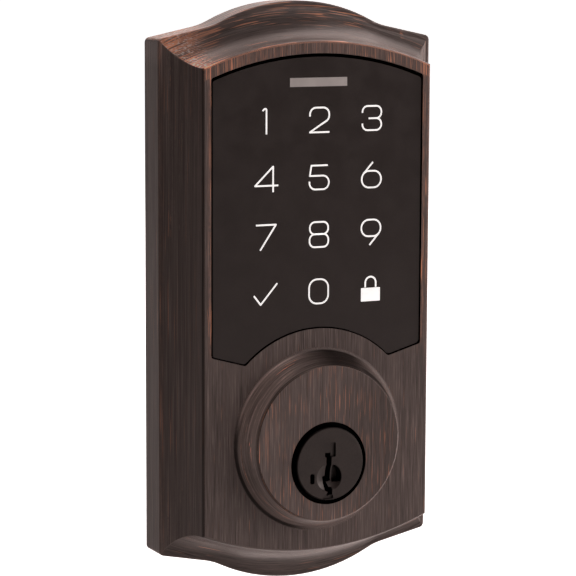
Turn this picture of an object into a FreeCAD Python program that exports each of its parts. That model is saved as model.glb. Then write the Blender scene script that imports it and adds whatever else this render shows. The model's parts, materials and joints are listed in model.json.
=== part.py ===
import FreeCAD, Part
import math
import os

# Outdoor half of a keypad deadbolt: a cast escutcheon with a touch keypad above a key cylinder.
#
# Frame: X to the right as a visitor sees the lock, Y into the door, Z up.
# The door's face is Y = 0 and the lock stands out from it towards -Y.
# The origin is on the key cylinder's axis, where it meets the door's face.
# "Depth" means distance out from the door's face, so depth 5 is Y = -5.
# All sizes are in millimetres.

Vector = FreeCAD.Vector

# --- Escutcheon, the cast casing ---
HEIGHT = 127.0            # crown of the top edge to crown of the bottom edge
WIDTH = 65.2              # across the rear flange
CYLINDER_UP = 28.5        # cylinder's axis above the crown of the bottom edge
FACE_DEPTH = 18.6         # door to front face
FLANGE_DEPTH = 8.0        # door to the flange's front
FLANGE_CORNER_R = 1.2
CORNER_DROP = 7.9         # crown of the flange down to its corner
CROWN_R = 40.0            # convex middle of the ogee edge
HOLLOW_R = 15.0           # hollow either side of it
SHOULDER_ANGLE = 11.9     # slope of the straight shoulder, degrees
SIDE_INSET = 5.5          # flange edge to front face edge, at the sides
CROWN_INSET = 8.2         # the same at the middle of the top and bottom
FACE_ARC_R = 70.0         # top and bottom edges of the front face
LEDGE = 0.9               # flat ledge between the flange's edge and the cove
COVE_START = 10.0         # cove is an ellipse quarter from this angle on, degrees
COVE_STEPS = 9            # points down the cove's profile
COVE_COLUMNS = 41         # profiles along the top and bottom coves
COVE_OVERRUN = 1.5        # the top and bottom coves run past the corners, and the side coves trim them
FLANGE_EDGE_R = 0.45
FACE_EDGE_R = 0.5
FLANGE_WALL = 2.6
FACE_WALL = 2.3
SHELF_DEPTH = 7.6         # step inside the casing that carries the keypad carrier
LEDGE_THICK = 1.4         # casing behind the keypad window's rim
ROOT = 1.0                # bosses run this far into the wall they stand on
SAME = 1e-4               # lengths closer than this count as equal

# --- Raised boss round the key cylinder ---
BOSS_UP = 4.3             # boss centre above the cylinder's axis
BOSS_HEIGHT = 5.5
BOSS_FACE_R = 16.95
BOSS_FOOT_R = 19.5
BOSS_FOOT_FILLET = 1.1
BOSS_EDGE_R = 0.35
BOSS_WALL = 1.6           # boss front, over the cylinder's neck
PLUG_OPENING_R = 8.8
OPENING_EDGE_R = 0.25

# --- Keypad window in the casing, and the panel in it ---
WINDOW_SIDE = 1.9         # front face edge to window, at the sides
WINDOW_TOP = 2.7          # the same at the crown of the top
WINDOW_LOW_CORNER_UP = 23.7   # window's lower corners above the cylinder's axis
WINDOW_TIP_ANGLE = 15.7   # slope of the short edges down to the tips, degrees
WINDOW_BOSS_GAP = 4.75    # window's lower arc, clear of the boss's foot
WINDOW_CORNER_R = 0.7
WINDOW_RIM = 2.2          # ledge the panel is stuck to
PANEL_SINK = 0.3          # panel face below the front face
PANEL_THICK = 1.8
PANEL_GAP = 0.3
PANEL_TOP_GAP = 0.45      # more room along the top edge
PANEL_CORNER_R = 1.0
ADHESIVE_THICK = 0.4
ADHESIVE_INSET = 0.25

# --- Legends and status light ---
COLUMN_PITCH = 12.65
COLUMNS = 3
ROWS = 4
TOP_ROW_DROP = 14.15      # window's crown down to the first row of legends
LAST_ROW_RISE = 8.0       # window's lower arc up to the last row
STATUS_DROP = 6.1         # window's crown down to the status light
STATUS_WIDTH = 13.6
STATUS_HEIGHT = 1.9
STATUS_LEDS = 3

# --- Board stack behind the panel ---
STACK_FIT = 0.25          # round the light guide and the board, inside the rim
GUIDE_THICK = 1.1
BOARD_THICK = 1.2
STACK_GAP = 0.1
ELECTRODE_R = 4.6
ELECTRODE_INNER_R = 3.9
ELECTRODE_THICK = 0.06
LED_SIZE = (1.6, 0.6, 0.8)    # across, deep, tall
LED_POCKET = 0.3          # room round an LED in the light guide
LED_MARGIN = 0.3          # between an LED and the electrode round it
CARRIER_PLATE = 1.6
CARRIER_WALL = 1.5
CARRIER_WALL_INSET = 0.8
CARRIER_CORNER_R = 2.0
CARRIER_FIT = 0.3
CARRIER_LOW_UP = 20.5     # carrier plate's lower edge above the cylinder's axis
CARRIER_DROP = 10.6       # window's crown down to the plate's upper edge
CARRIER_SCREW_FROM_END = 7.2
BOARD_SCREW_INSET = 1.9
BOARD_SCREW_RISE = 6.3    # above the window's lower corners
BOARD_SCREW_DROP = 11.6   # below the window's crown
SOCKET_SIZE = (11.0, 4.6, 4.4)
SOCKET_UP = 34.0
SOCKET_WALL = 0.7
SOCKET_FLOOR = 1.0
CHIPS = ((-8.0, 56.0, 7.0, 7.0, 1.0), (8.5, 58.0, 6.0, 5.0, 1.2), (0.0, 44.5, 9.0, 3.2, 0.9))

# --- Rear of the casing ---
GASKET_THICK = 0.5        # squeezed against the door
GASKET_INSET = 0.4
GASKET_WIDTH = 3.0
BACK_PLATE_THICK = 2.0
BACK_PLATE_FIT = 0.25
BACK_SCREW_FROM_CROWN = 17.5
BACK_BOSS_R = 2.5
BACK_SCREW_SINK = 0.1     # heads below the back plate's rear face
SCREW_R = 0.95            # small self-tapping screws
SCREW_HEAD_R = 1.75
SCREW_HEAD_THICK = 0.9
SCREW_HEAD_FIT = 0.2
SCREW_LENGTH = 4.2
SCREW_HOLE_FIT = 0.05
DRILL_PAST = 0.5          # drilled holes go this far past a screw's end
HEAD_ROUNDING = 0.45      # rounding of a screw's head, as a share of its thickness
CROSS_ARM = 0.62          # cross recess: half its length and half its width, as shares of the head's radius
CROSS_HALF = 0.17
CROSS_DEEP = 0.65         # its depth, as a share of the head's thickness
OUTLET_UP = 20.6          # cable outlet above the cylinder's axis
OUTLET_WIDTH = 12.0
OUTLET_HEIGHT = 8.0
OUTLET_CORNER_R = 2.5
GROMMET_WALL = 1.3
GROMMET_LIP = 1.0
GROMMET_LIP_THICK = 0.6
GROMMET_DOOR_GAP = 0.1

# --- Key cylinder ---
PLUG_R = 6.9
PLUG_CLEARANCE = 0.06     # running fit of the plug in the cylinder
PLUG_HEAD_R = 8.0
PLUG_PROUD = 0.75         # plug head stands out of the boss
PLUG_END_PLAY = 0.05
HEAD_DEEP = 1.5           # head's seat in the cylinder's front
HEAD_FIT = 0.1
HEAD_EDGE_R = 0.35
NECK_R = 10.2
NECK_FIT = 0.15
CYLINDER_REAR = 1.0       # cylinder stands this far behind the door's face
SIDEBAR_GROOVE = 0.8
EAR_DEPTH = 5.0           # door to the back of the cylinder's mounting ears
EAR_THICK = 2.5
EAR_PAST_POST = 7.7       # post's axis to the ear's end
EAR_HALF_HEIGHT = 9.5
EAR_CORNER_R = 3.0
EAR_SCREW_PAST_POST = 4.1
EAR_SCREW_UP = -6.2
EAR_SCREW_R = 1.4
EAR_SCREW_HEAD_R = 2.4
EAR_SCREW_HEAD_THICK = 1.4
EAR_SCREW_LENGTH = 8.0
EAR_BOSS_R = 3.0
POST_R = 3.2
POST_BORE_R = 2.1
POST_BORE_LENGTH = 7.5
POST_FLANGE_R = 4.0
POST_FLANGE_THICK = 1.5
POST_NECK_GAP = 0.1       # post's flange clear of the cylinder
POST_ROOM = 0.5
DRILL_PIN_R = 0.8
DRILL_PIN_LENGTH = 6.0
DRILL_PIN_ANGLE = 40.0    # above the level
DRILL_PIN_SINK = 0.6
CUT_PAST = 1.0            # groove cutters reach this far outside the skin

# --- Keyway and the plug's face ---
KEYWAY_TOP = 2.3
KEYWAY_BOTTOM = -7.1
KEYWAY_RIGHT = ((0.3, KEYWAY_TOP), (0.3, -3.8), (-0.7, -4.0), (-0.2, -5.1), (0.5, -5.2), (0.5, -6.7))
KEYWAY_LEFT = ((-0.4, KEYWAY_BOTTOM), (-0.95, -6.8), (-0.6, -6.1), (-1.25, -5.8), (-1.65, -2.85),
               (-0.95, -2.6), (-0.95, KEYWAY_TOP))
KEYWAY_STOP = 1.2         # solid metal left at the plug's rear, from the door's face
KEY_RECESS = (-1.45, 1.3, 1.5, 4.6)     # left, right, low, high
KEY_RECESS_DEEP = 0.6
KEY_RECESS_R = 0.2
DISH_R = 3.05
DISH_AT = (-0.2, -2.9)
DISH_HALF_HEIGHT = 2.65
DISH_DEEP = 0.85          # at the middle of its round hollow
POCKET_LEFT = 0.6         # deeper pocket in the dish's right half
POCKET_DEEP = 2.4
POCKET_DROP = 1.2         # pocket's lower edge below the dish's middle
POCKET_INSET = 0.15
TOOL_SLOT = (-4.8, -3.75, -4.1, -1.9)
TOOL_SLOT_DEEP = 3.2
TOOL_SLOT_R = 0.4
FOOT_RECESS = (-1.7, 0.7, -7.65, -6.85)
FOOT_RECESS_DEEP = 0.5

# --- Tumblers: a pin that the key lifts and a wafer meshed with it, side by side ---
TUMBLERS = 5
TUMBLER_PITCH = 3.81
FIRST_TUMBLER = 7.0       # from the plug's front
TUMBLER_LENGTH = 2.3      # along the plug
TUMBLER_FIT = 0.1
TUMBLER_LOW = -1.8
TUMBLER_HEIGHT = 3.2
TUMBLER_TRAVEL = 1.8
PIN_THICK = 1.1
PIN_FOOT_TIP = -0.3
PIN_FOOT_HEIGHT = 1.0
WAFER_THICK = 1.25
WAFER_PIN_GAP = 0.05
WAFER_SIDEBAR_GAP = 0.25
WAFER_NOTCH = 0.35
SPRING_WIRE_R = 0.1
SPRING_R = 0.42
SPRING_TURNS = 5
SPRING_FIT = 0.04
COVER_THICK = 0.5
COVER_SINK = 0.15         # cover's upper corner inside the plug's skin
COVER_HALF_WIDTH = 1.4
COVER_FIT = 0.05
SIDEBAR_SINK = 0.1        # inside the plug's skin, drawn in
SIDEBAR_DEEP = 2.05
SIDEBAR_FIT = 0.05
SIDEBAR_HALF_HEIGHT = 0.8
CHAMBER_WALL = 0.3        # between the end chambers and the sidebar's springs
SIDEBAR_SPRING_R = 0.45
SIDEBAR_SPRING_POCKET = 1.4

# --- Rear of the plug and the torque blade ---
CLIP_GROOVE_DEEP = 0.7
CLIP_THICK = 0.9
CLIP_PROUD = 1.3          # clip stands out of the plug
CLIP_GAP = 5.0
PLUG_REAR = 5.4           # plug's rear end behind the door's face
LUG_R = 3.2               # two-armed lug on the blade's hub
LUG_THICK = 1.6
LUG_LENGTH = 2.2
HUB_WALL = 1.0            # plug's wall round the hub
HUB_THICK = 1.2
HUB_FIT = 0.08
CAP_THICK = 0.9
CAP_SKIRT = 1.4
CAP_SINK = 0.05           # cap's skirt inside the plug's skin
CAP_SEAT_DEEP = 0.7
BLADE_THICK = 2.3
BLADE_WIDTH = 6.0
BLADE_TIP = 52.0          # blade's free end behind the door's face
BLADE_TIP_CHAMFER = 0.6
BLADE_HOLE_FIT = 0.2

# --- Worked out from the above ---
HALF_WIDTH = WIDTH / 2
HALF_HEIGHT = HEIGHT / 2
CENTRE_UP = HALF_HEIGHT - CYLINDER_UP    # escutcheon's middle above the cylinder's axis
FACE_HALF_WIDTH = HALF_WIDTH - SIDE_INSET
FACE_HALF_HEIGHT = HALF_HEIGHT - CROWN_INSET
BOSS_FRONT = FACE_DEPTH + BOSS_HEIGHT
NECK_FRONT = BOSS_FRONT - BOSS_WALL
PLUG_FRONT = BOSS_FRONT + PLUG_PROUD
PANEL_FRONT = FACE_DEPTH - PANEL_SINK
PANEL_BACK = PANEL_FRONT - PANEL_THICK
RIM_FRONT = PANEL_BACK - ADHESIVE_THICK
RIM_BACK = RIM_FRONT - LEDGE_THICK
GUIDE_BACK = PANEL_BACK - STACK_GAP - GUIDE_THICK
BOARD_FRONT = GUIDE_BACK - STACK_GAP
BOARD_BACK = BOARD_FRONT - BOARD_THICK
BACK_PLATE_FRONT = GASKET_THICK + BACK_PLATE_THICK
EAR_FRONT = EAR_DEPTH + EAR_THICK
BORE_R = PLUG_R + PLUG_CLEARANCE
WINDOW_CROWN_UP = CENTRE_UP + FACE_HALF_HEIGHT - WINDOW_TOP
WINDOW_SWEEP_R = BOSS_FOOT_R + WINDOW_BOSS_GAP
TOP_ROW_UP = WINDOW_CROWN_UP - TOP_ROW_DROP
LAST_ROW_UP = BOSS_UP + WINDOW_SWEEP_R + LAST_ROW_RISE
ROW_PITCH = (TOP_ROW_UP - LAST_ROW_UP) / (ROWS - 1)
STATUS_UP = WINDOW_CROWN_UP - STATUS_DROP
SHELF_X = (FACE_HALF_WIDTH - FACE_WALL + HALF_WIDTH - FLANGE_WALL) / 2    # middle of the casing's shelf
CARRIER_HIGH_UP = WINDOW_CROWN_UP - CARRIER_DROP
POST_X = NECK_R + POST_NECK_GAP + POST_FLANGE_R    # through bolts, either side of the cylinder
EAR_HALF_LENGTH = POST_X + EAR_PAST_POST
SIDEBAR_OUTER = PLUG_R - SIDEBAR_SINK
SIDEBAR_INNER = SIDEBAR_OUTER - SIDEBAR_DEEP
WAFER_LEFT = -SIDEBAR_INNER + WAFER_SIDEBAR_GAP
WAFER_SIDES = (WAFER_LEFT, WAFER_LEFT + WAFER_THICK)
PIN_LEFT = WAFER_LEFT + WAFER_THICK + WAFER_PIN_GAP
PIN_SIDES = (PIN_LEFT, PIN_LEFT + PIN_THICK)
PIN_MIDDLE = PIN_LEFT + PIN_THICK / 2
CHAMBER_TOP = math.sqrt((PLUG_R - COVER_SINK) ** 2 - (PIN_MIDDLE - COVER_HALF_WIDTH) ** 2) - COVER_THICK
CAP_SEAT_R = PLUG_R - CAP_SEAT_DEEP
HUB_R = CAP_SEAT_R - HUB_WALL


def tumbler_depth(number):
    """Depth of a tumbler's middle; number 0 is nearest the key."""
    return PLUG_FRONT - FIRST_TUMBLER - number * TUMBLER_PITCH


SIDEBAR_SPRING_ROOM = 2 * SIDEBAR_SPRING_R + 4 * SPRING_FIT
SIDEBAR_PAST_TUMBLER = TUMBLER_LENGTH / 2 + TUMBLER_FIT + CHAMBER_WALL + SIDEBAR_SPRING_ROOM
SIDEBAR_FRONT = tumbler_depth(0) + SIDEBAR_PAST_TUMBLER
SIDEBAR_BACK = tumbler_depth(TUMBLERS - 1) - SIDEBAR_PAST_TUMBLER


# --- Plain shapes ---
def at(x, z):
    return Vector(x, 0, z)


def line(start, end):
    return Part.LineSegment(start, end).toShape()


def arc(start, middle, end):
    return Part.Arc(start, middle, end).toShape()


def polygon(*points):
    return Part.makePolygon([at(*p) for p in points] + [at(*points[0])])


def prism(wire, near, far):
    """A flat outline at the door's face made solid between two depths."""
    face = Part.Face(wire)
    face.translate(Vector(0, -near, 0))
    return face.extrude(Vector(0, near - far, 0))


def block(left, right, low, high, near, far):
    return Part.makeBox(right - left, far - near, high - low, Vector(left, -far, low))


def disc(radius, near, far, x=0.0, z=0.0):
    return Part.makeCylinder(radius, far - near, Vector(x, -near, z), Vector(0, -1, 0))


def ring(outer, inner, near, far, x=0.0, z=0.0):
    return disc(outer, near, far, x, z).cut(disc(inner, near, far, x, z))


def inset(wire, distance):
    return wire.makeOffset2D(-distance)


def edges_along_y(shape):
    found = []
    for edge in shape.Edges:
        ends = [vertex.Point for vertex in edge.Vertexes]
        if len(ends) == 2 and math.hypot(ends[0].x - ends[1].x, ends[0].z - ends[1].z) < SAME:
            found.append(edge)
    return found


def rounded_prism(wire, near, far, radius):
    solid = prism(wire, near, far)
    return solid.makeFillet(radius, edges_along_y(solid))


def rounded_block(left, right, low, high, near, far, radius):
    outline = polygon((left, low), (right, low), (right, high), (left, high))
    return rounded_prism(outline, near, far, radius)


def fuse(shapes):
    return shapes[0].multiFuse(shapes[1:]).removeSplitter() if len(shapes) > 1 else shapes[0]


# --- Edges of the escutcheon ---
def ogee_angle():
    """Slope where the convex crown meets the hollow, in radians."""
    shoulder = math.radians(SHOULDER_ANGLE)
    closing = (CROWN_R - CORNER_DROP) * math.cos(shoulder) + HOLLOW_R + HALF_WIDTH * math.sin(shoulder)
    return shoulder + math.acos(closing / (CROWN_R + HOLLOW_R))


def ogee_points():
    """Half of the ogee edge from its crown outwards: (x, height above the escutcheon's middle)."""
    slope = ogee_angle()
    shoulder = math.radians(SHOULDER_ANGLE)
    crown_centre = HALF_HEIGHT - CROWN_R
    hollow_x = (CROWN_R + HOLLOW_R) * math.sin(slope)
    hollow_z = crown_centre + (CROWN_R + HOLLOW_R) * math.cos(slope)

    def on_hollow(angle):
        return hollow_x - HOLLOW_R * math.sin(angle), hollow_z - HOLLOW_R * math.cos(angle)

    return {
        "crown": (0.0, HALF_HEIGHT),
        "crown_mid": (CROWN_R * math.sin(slope / 2), crown_centre + CROWN_R * math.cos(slope / 2)),
        "turn": on_hollow(slope),
        "hollow_mid": on_hollow((slope + shoulder) / 2),
        "shoulder": on_hollow(shoulder),
        "corner": (HALF_WIDTH, HALF_HEIGHT - CORNER_DROP),
    }


def ogee_height(x):
    """Height of the flange's edge above the escutcheon's middle at a distance x from the centre line."""
    points = ogee_points()
    x = abs(x)
    if x <= points["turn"][0]:
        return HALF_HEIGHT - CROWN_R + math.sqrt(CROWN_R ** 2 - x ** 2)
    if x <= points["shoulder"][0]:
        reach = (CROWN_R + HOLLOW_R) * math.sin(ogee_angle())
        rise = HALF_HEIGHT - CROWN_R + (CROWN_R + HOLLOW_R) * math.cos(ogee_angle())
        return rise - math.sqrt(HOLLOW_R ** 2 - (x - reach) ** 2)
    return points["corner"][1] + (HALF_WIDTH - x) * math.tan(math.radians(SHOULDER_ANGLE))


def face_arc_height(x):
    """Height of the front face's edge above the escutcheon's middle."""
    return FACE_HALF_HEIGHT - FACE_ARC_R + math.sqrt(FACE_ARC_R ** 2 - x ** 2)


def flange_wire():
    points = ogee_points()
    edges = []
    for up in (1, -1):
        for side in (1, -1):
            def place(name):
                return at(side * points[name][0], CENTRE_UP + up * points[name][1])
            edges.append(arc(place("crown"), place("crown_mid"), place("turn")))
            edges.append(arc(place("turn"), place("hollow_mid"), place("shoulder")))
            edges.append(line(place("shoulder"), place("corner")))
    corner = points["corner"]
    for side in (1, -1):
        x = side * corner[0]
        edges.append(line(at(x, CENTRE_UP - corner[1]), at(x, CENTRE_UP + corner[1])))
    return Part.Wire(Part.__sortEdges__(edges))


def face_wire():
    corner = face_arc_height(FACE_HALF_WIDTH)
    left, right = -FACE_HALF_WIDTH, FACE_HALF_WIDTH
    low, high = CENTRE_UP - corner, CENTRE_UP + corner
    return Part.Wire([
        arc(at(left, high), at(0, CENTRE_UP + FACE_HALF_HEIGHT), at(right, high)),
        line(at(right, high), at(right, low)),
        arc(at(right, low), at(0, CENTRE_UP - FACE_HALF_HEIGHT), at(left, low)),
        line(at(left, low), at(left, high)),
    ])


# --- Cove between the flange and the front face ---

def cove_profile():
    """(depth, share of the inset) from the ledge forward to the front face's edge."""
    start = math.radians(COVE_START)
    steps = []
    for i in range(COVE_STEPS):
        angle = start + (math.pi / 2 - start) * i / (COVE_STEPS - 1)
        forward = (math.cos(start) - math.cos(angle)) / math.cos(start)
        inward = (math.sin(angle) - math.sin(start)) / (1 - math.sin(start))
        share = (LEDGE + (SIDE_INSET - LEDGE) * inward) / SIDE_INSET
        steps.append((FLANGE_DEPTH + (FACE_DEPTH - FLANGE_DEPTH) * forward, share))
    return steps


def side_cove_body():
    """Bar with a cove down each side, longer than the escutcheon."""
    low = CENTRE_UP - HEIGHT
    curves = []
    for side in (-1, 1):
        points = [Vector(side * (HALF_WIDTH - SIDE_INSET * s), -depth, low) for depth, s in cove_profile()]
        curve = Part.BSplineCurve()
        curve.interpolate(points)
        curves.append((curve.toShape(), points[0], points[-1]))
    (left, left_back, left_front), (right, right_back, right_front) = curves
    outline = Part.Wire([left, line(left_front, right_front), right, line(right_back, left_back)])
    return Part.Face(outline).extrude(Vector(0, 0, 2 * HEIGHT))


def edge_cove_body(up):
    """Everything below the top cove (up = 1) or above the bottom cove (up = -1)."""
    reach = HALF_WIDTH + COVE_OVERRUN
    rows = []
    for depth, share in cove_profile():
        row = []
        for i in range(COVE_COLUMNS):
            x = reach * (2 * i / (COVE_COLUMNS - 1) - 1)
            height = ogee_height(x) * (1 - share) + face_arc_height(x) * share
            row.append(Vector(x, -depth, CENTRE_UP + up * height))
        rows.append(row)
    surface = Part.BSplineSurface()
    surface.interpolate(rows)
    return surface.toShape().extrude(Vector(0, 0, -up * 1.5 * HEIGHT))


def window_wire(top_gap=0.0):
    """Keypad window's outline: arched top, straight sides, and a lower edge that clears the boss."""
    half = FACE_HALF_WIDTH - WINDOW_SIDE
    top_r = FACE_ARC_R - WINDOW_TOP - top_gap
    crown = WINDOW_CROWN_UP - top_gap
    high = crown - top_r + math.sqrt(top_r ** 2 - half ** 2)
    sweep_r = WINDOW_SWEEP_R
    slope = math.tan(math.radians(WINDOW_TIP_ANGLE))
    # The short edge falls from (half, low corner) towards the middle and meets the circle round the boss.
    rise = WINDOW_LOW_CORNER_UP - BOSS_UP - slope * half
    a = 1 + slope ** 2
    b = 2 * slope * rise
    c = rise ** 2 - sweep_r ** 2
    tip_x = (-b + math.sqrt(b ** 2 - 4 * a * c)) / (2 * a)
    tip_up = WINDOW_LOW_CORNER_UP - slope * (half - tip_x)
    return Part.Wire([
        arc(at(-half, high), at(0, crown), at(half, high)),
        line(at(half, high), at(half, WINDOW_LOW_CORNER_UP)),
        line(at(half, WINDOW_LOW_CORNER_UP), at(tip_x, tip_up)),
        arc(at(tip_x, tip_up), at(0, BOSS_UP + sweep_r), at(-tip_x, tip_up)),
        line(at(-tip_x, tip_up), at(-half, WINDOW_LOW_CORNER_UP)),
        line(at(-half, WINDOW_LOW_CORNER_UP), at(-half, high)),
    ])


def panel_wire():
    return inset(window_wire(PANEL_TOP_GAP), PANEL_GAP)


def opening_wire():
    """Hole inside the rim that the panel is stuck to."""
    return inset(window_wire(), WINDOW_RIM)


def carrier_screw_places():
    ups = (CARRIER_LOW_UP + CARRIER_SCREW_FROM_END, CARRIER_HIGH_UP - CARRIER_SCREW_FROM_END)
    return [(side * SHELF_X, up) for side in (-1, 1) for up in ups]


def back_screw_places():
    reach = HALF_HEIGHT - BACK_SCREW_FROM_CROWN
    return [(side * SHELF_X, CENTRE_UP + up * reach) for side in (-1, 1) for up in (-1, 1)]


def ear_screw_places():
    return [(side * (POST_X + EAR_SCREW_PAST_POST), EAR_SCREW_UP) for side in (-1, 1)]


def boss_solid():
    foot = Vector(0, -FACE_DEPTH, BOSS_UP)
    cone = Part.makeCone(BOSS_FOOT_R, BOSS_FACE_R, BOSS_HEIGHT, foot, Vector(0, -1, 0))
    root = disc(BOSS_FOOT_R, FACE_DEPTH - ROOT, FACE_DEPTH, 0, BOSS_UP)
    return cone.fuse(root)


def round_edges(shape, depth, radius, centre_up, circle_r=None):
    """Rounds the edges that lie flat at one depth: all of them, or one circle's."""
    chosen = []
    for edge in shape.Edges:
        box = edge.BoundBox
        if abs(box.YMin + depth) > SAME or abs(box.YMax + depth) > SAME:
            continue
        is_circle = isinstance(edge.Curve, Part.Circle) and abs(edge.Curve.Center.z - centre_up) < SAME
        if circle_r is None or (is_circle and abs(edge.Curve.Radius - circle_r) < SAME):
            chosen.append(edge)
    return shape.makeFillet(radius, chosen)


def escutcheon_housing():
    flange = rounded_prism(flange_wire(), GASKET_THICK, FLANGE_DEPTH, FLANGE_CORNER_R)
    flange = round_edges(flange, FLANGE_DEPTH, FLANGE_EDGE_R, CENTRE_UP)
    cove = side_cove_body().common(edge_cove_body(1)).common(edge_cove_body(-1))
    cove = round_edges(cove, FACE_DEPTH, FACE_EDGE_R, CENTRE_UP)
    shell = flange.fuse(cove).fuse(boss_solid()).removeSplitter()
    shell = round_edges(shell, FACE_DEPTH, BOSS_FOOT_FILLET, BOSS_UP, BOSS_FOOT_R)
    shell = round_edges(shell, BOSS_FRONT, BOSS_EDGE_R, BOSS_UP, BOSS_FACE_R)
    shell = shell.cut(prism(inset(flange_wire(), FLANGE_WALL), GASKET_THICK, SHELF_DEPTH))
    shell = shell.cut(prism(inset(face_wire(), FACE_WALL), GASKET_THICK, RIM_BACK))
    shell = shell.cut(rounded_prism(window_wire(), RIM_FRONT, FACE_DEPTH, WINDOW_CORNER_R))
    shell = shell.cut(prism(opening_wire(), GASKET_THICK, FACE_DEPTH))
    shell = shell.cut(disc(NECK_R + NECK_FIT, GASKET_THICK, NECK_FRONT))
    shell = shell.cut(disc(PLUG_OPENING_R, GASKET_THICK, BOSS_FRONT))
    shell = round_edges(shell, BOSS_FRONT, OPENING_EDGE_R, 0.0, PLUG_OPENING_R)
    posts = [disc(BACK_BOSS_R, BACK_PLATE_FRONT, SHELF_DEPTH + ROOT, x, z) for x, z in back_screw_places()]
    posts += [disc(EAR_BOSS_R, EAR_FRONT, RIM_BACK + ROOT, x, z) for x, z in ear_screw_places()]
    shell = shell.multiFuse(posts).removeSplitter()
    drills = [screw_hole(x, z, BACK_PLATE_FRONT, SCREW_R, SCREW_LENGTH) for x, z in back_screw_places()]
    drills += [screw_hole(x, z, SHELF_DEPTH, SCREW_R, SCREW_LENGTH - CARRIER_PLATE)
               for x, z in carrier_screw_places()]
    drills += [screw_hole(x, z, EAR_FRONT, EAR_SCREW_R, EAR_SCREW_LENGTH - EAR_THICK)
               for x, z in ear_screw_places()]
    return shell.cut(fuse(drills))


def screw_hole(x, z, mouth, radius, length):
    return disc(radius + SCREW_HOLE_FIT, mouth - DRILL_PAST, mouth + length + DRILL_PAST, x, z)


def screw(radius, head_r, head_thick, length):
    """Pan-head screw at the origin, its seat at depth 0 and its shank pointing away from the door."""
    shank = disc(radius, 0, length)
    head = disc(head_r, -head_thick, 0)
    rim = [e for e in head.Edges if e.BoundBox.YMin > head_thick - SAME and isinstance(e.Curve, Part.Circle)]
    head = head.makeFillet(head_thick * HEAD_ROUNDING, rim)
    arm, half = head_r * CROSS_ARM, head_r * CROSS_HALF
    near, far = -head_thick, -head_thick * (1 - CROSS_DEEP)
    cross = block(-arm, arm, -half, half, near, far).fuse(block(-half, half, -arm, arm, near, far))
    return shank.fuse(head).removeSplitter().cut(cross)


def placed(shape, x, z, depth, inwards=False):
    copy = shape.copy()
    if inwards:
        copy.rotate(Vector(0, 0, 0), Vector(0, 0, 1), 180)
    copy.translate(Vector(x, -depth, z))
    return copy


def small_screw():
    return screw(SCREW_R, SCREW_HEAD_R, SCREW_HEAD_THICK, SCREW_LENGTH)


# --- Keypad: panel, light guide, board and what is on it ---
def panel_adhesive():
    outer = inset(panel_wire(), ADHESIVE_INSET)
    inner = inset(opening_wire(), -ADHESIVE_INSET)
    return prism(outer, RIM_FRONT, PANEL_BACK).cut(prism(inner, RIM_FRONT, PANEL_BACK))


def status_block(near, far, grow=0.0):
    half, low = STATUS_WIDTH / 2 + grow, STATUS_UP - STATUS_HEIGHT / 2 - grow
    return block(-half, half, low, low + STATUS_HEIGHT + 2 * grow, near, far)


def touch_panel():
    panel = rounded_prism(panel_wire(), PANEL_BACK, PANEL_FRONT, PANEL_CORNER_R)
    return panel.cut(status_block(PANEL_BACK, PANEL_FRONT))


def status_lens():
    return status_block(PANEL_BACK, PANEL_FRONT)


def legend_places():
    rows = [TOP_ROW_UP - row * ROW_PITCH for row in range(ROWS)]
    return [((column - (COLUMNS - 1) / 2) * COLUMN_PITCH, up) for up in rows for column in range(COLUMNS)]


def led_places():
    drop = ELECTRODE_INNER_R - LED_SIZE[2] / 2 - LED_MARGIN
    return [(x, up - drop) for x, up in legend_places()]


def status_led_places():
    pitch = STATUS_WIDTH / STATUS_LEDS
    return [((number - (STATUS_LEDS - 1) / 2) * pitch, STATUS_UP) for number in range(STATUS_LEDS)]


def board_screw_places():
    x = FACE_HALF_WIDTH - WINDOW_SIDE - WINDOW_RIM - STACK_FIT - BOARD_SCREW_INSET
    ups = (WINDOW_LOW_CORNER_UP + BOARD_SCREW_RISE, WINDOW_CROWN_UP - BOARD_SCREW_DROP)
    return [(side * x, up) for side in (-1, 1) for up in ups]


def led(x, z):
    across, deep, tall = LED_SIZE
    return block(x - across / 2, x + across / 2, z - tall / 2, z + tall / 2, BOARD_FRONT, BOARD_FRONT + deep)


def led_pocket(x, z):
    across, deep, tall = LED_SIZE
    half_x, half_z = across / 2 + LED_POCKET, tall / 2 + LED_POCKET
    return block(x - half_x, x + half_x, z - half_z, z + half_z, GUIDE_BACK, BOARD_FRONT + deep + LED_POCKET)


def stack_wire():
    """Outline of what lies behind the panel, inside the rim."""
    return inset(opening_wire(), STACK_FIT)


def light_guide():
    guide = prism(stack_wire(), GUIDE_BACK, GUIDE_BACK + GUIDE_THICK)
    pockets = [led_pocket(x, z) for x, z in led_places() + status_led_places()]
    pockets += [disc(SCREW_HEAD_R + LED_POCKET, GUIDE_BACK, GUIDE_BACK + GUIDE_THICK, x, z)
                for x, z in board_screw_places()]
    return guide.cut(fuse(pockets))


def keypad_board():
    board = prism(stack_wire(), BOARD_BACK, BOARD_FRONT)
    holes = [disc(SCREW_R + SCREW_HOLE_FIT, BOARD_BACK, BOARD_FRONT, x, z) for x, z in board_screw_places()]
    return board.cut(fuse(holes))


def touch_electrodes():
    front = BOARD_FRONT + ELECTRODE_THICK
    return Part.makeCompound([ring(ELECTRODE_R, ELECTRODE_INNER_R, BOARD_FRONT, front, x, z)
                              for x, z in legend_places()])


def legend_leds():
    return Part.makeCompound([led(x, z) for x, z in led_places()])


def status_leds():
    return Part.makeCompound([led(x, z) for x, z in status_led_places()])


def board_screws():
    return Part.makeCompound([placed(small_screw(), x, z, BOARD_FRONT, inwards=True)
                              for x, z in board_screw_places()])


def control_chips():
    """Chips on the board's back: (x, up, width, height, thickness) each."""
    chips = [block(x - width / 2, x + width / 2, up - height / 2, up + height / 2,
                   BOARD_BACK - thick, BOARD_BACK)
             for x, up, width, height, thick in CHIPS]
    return Part.makeCompound(chips)


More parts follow.
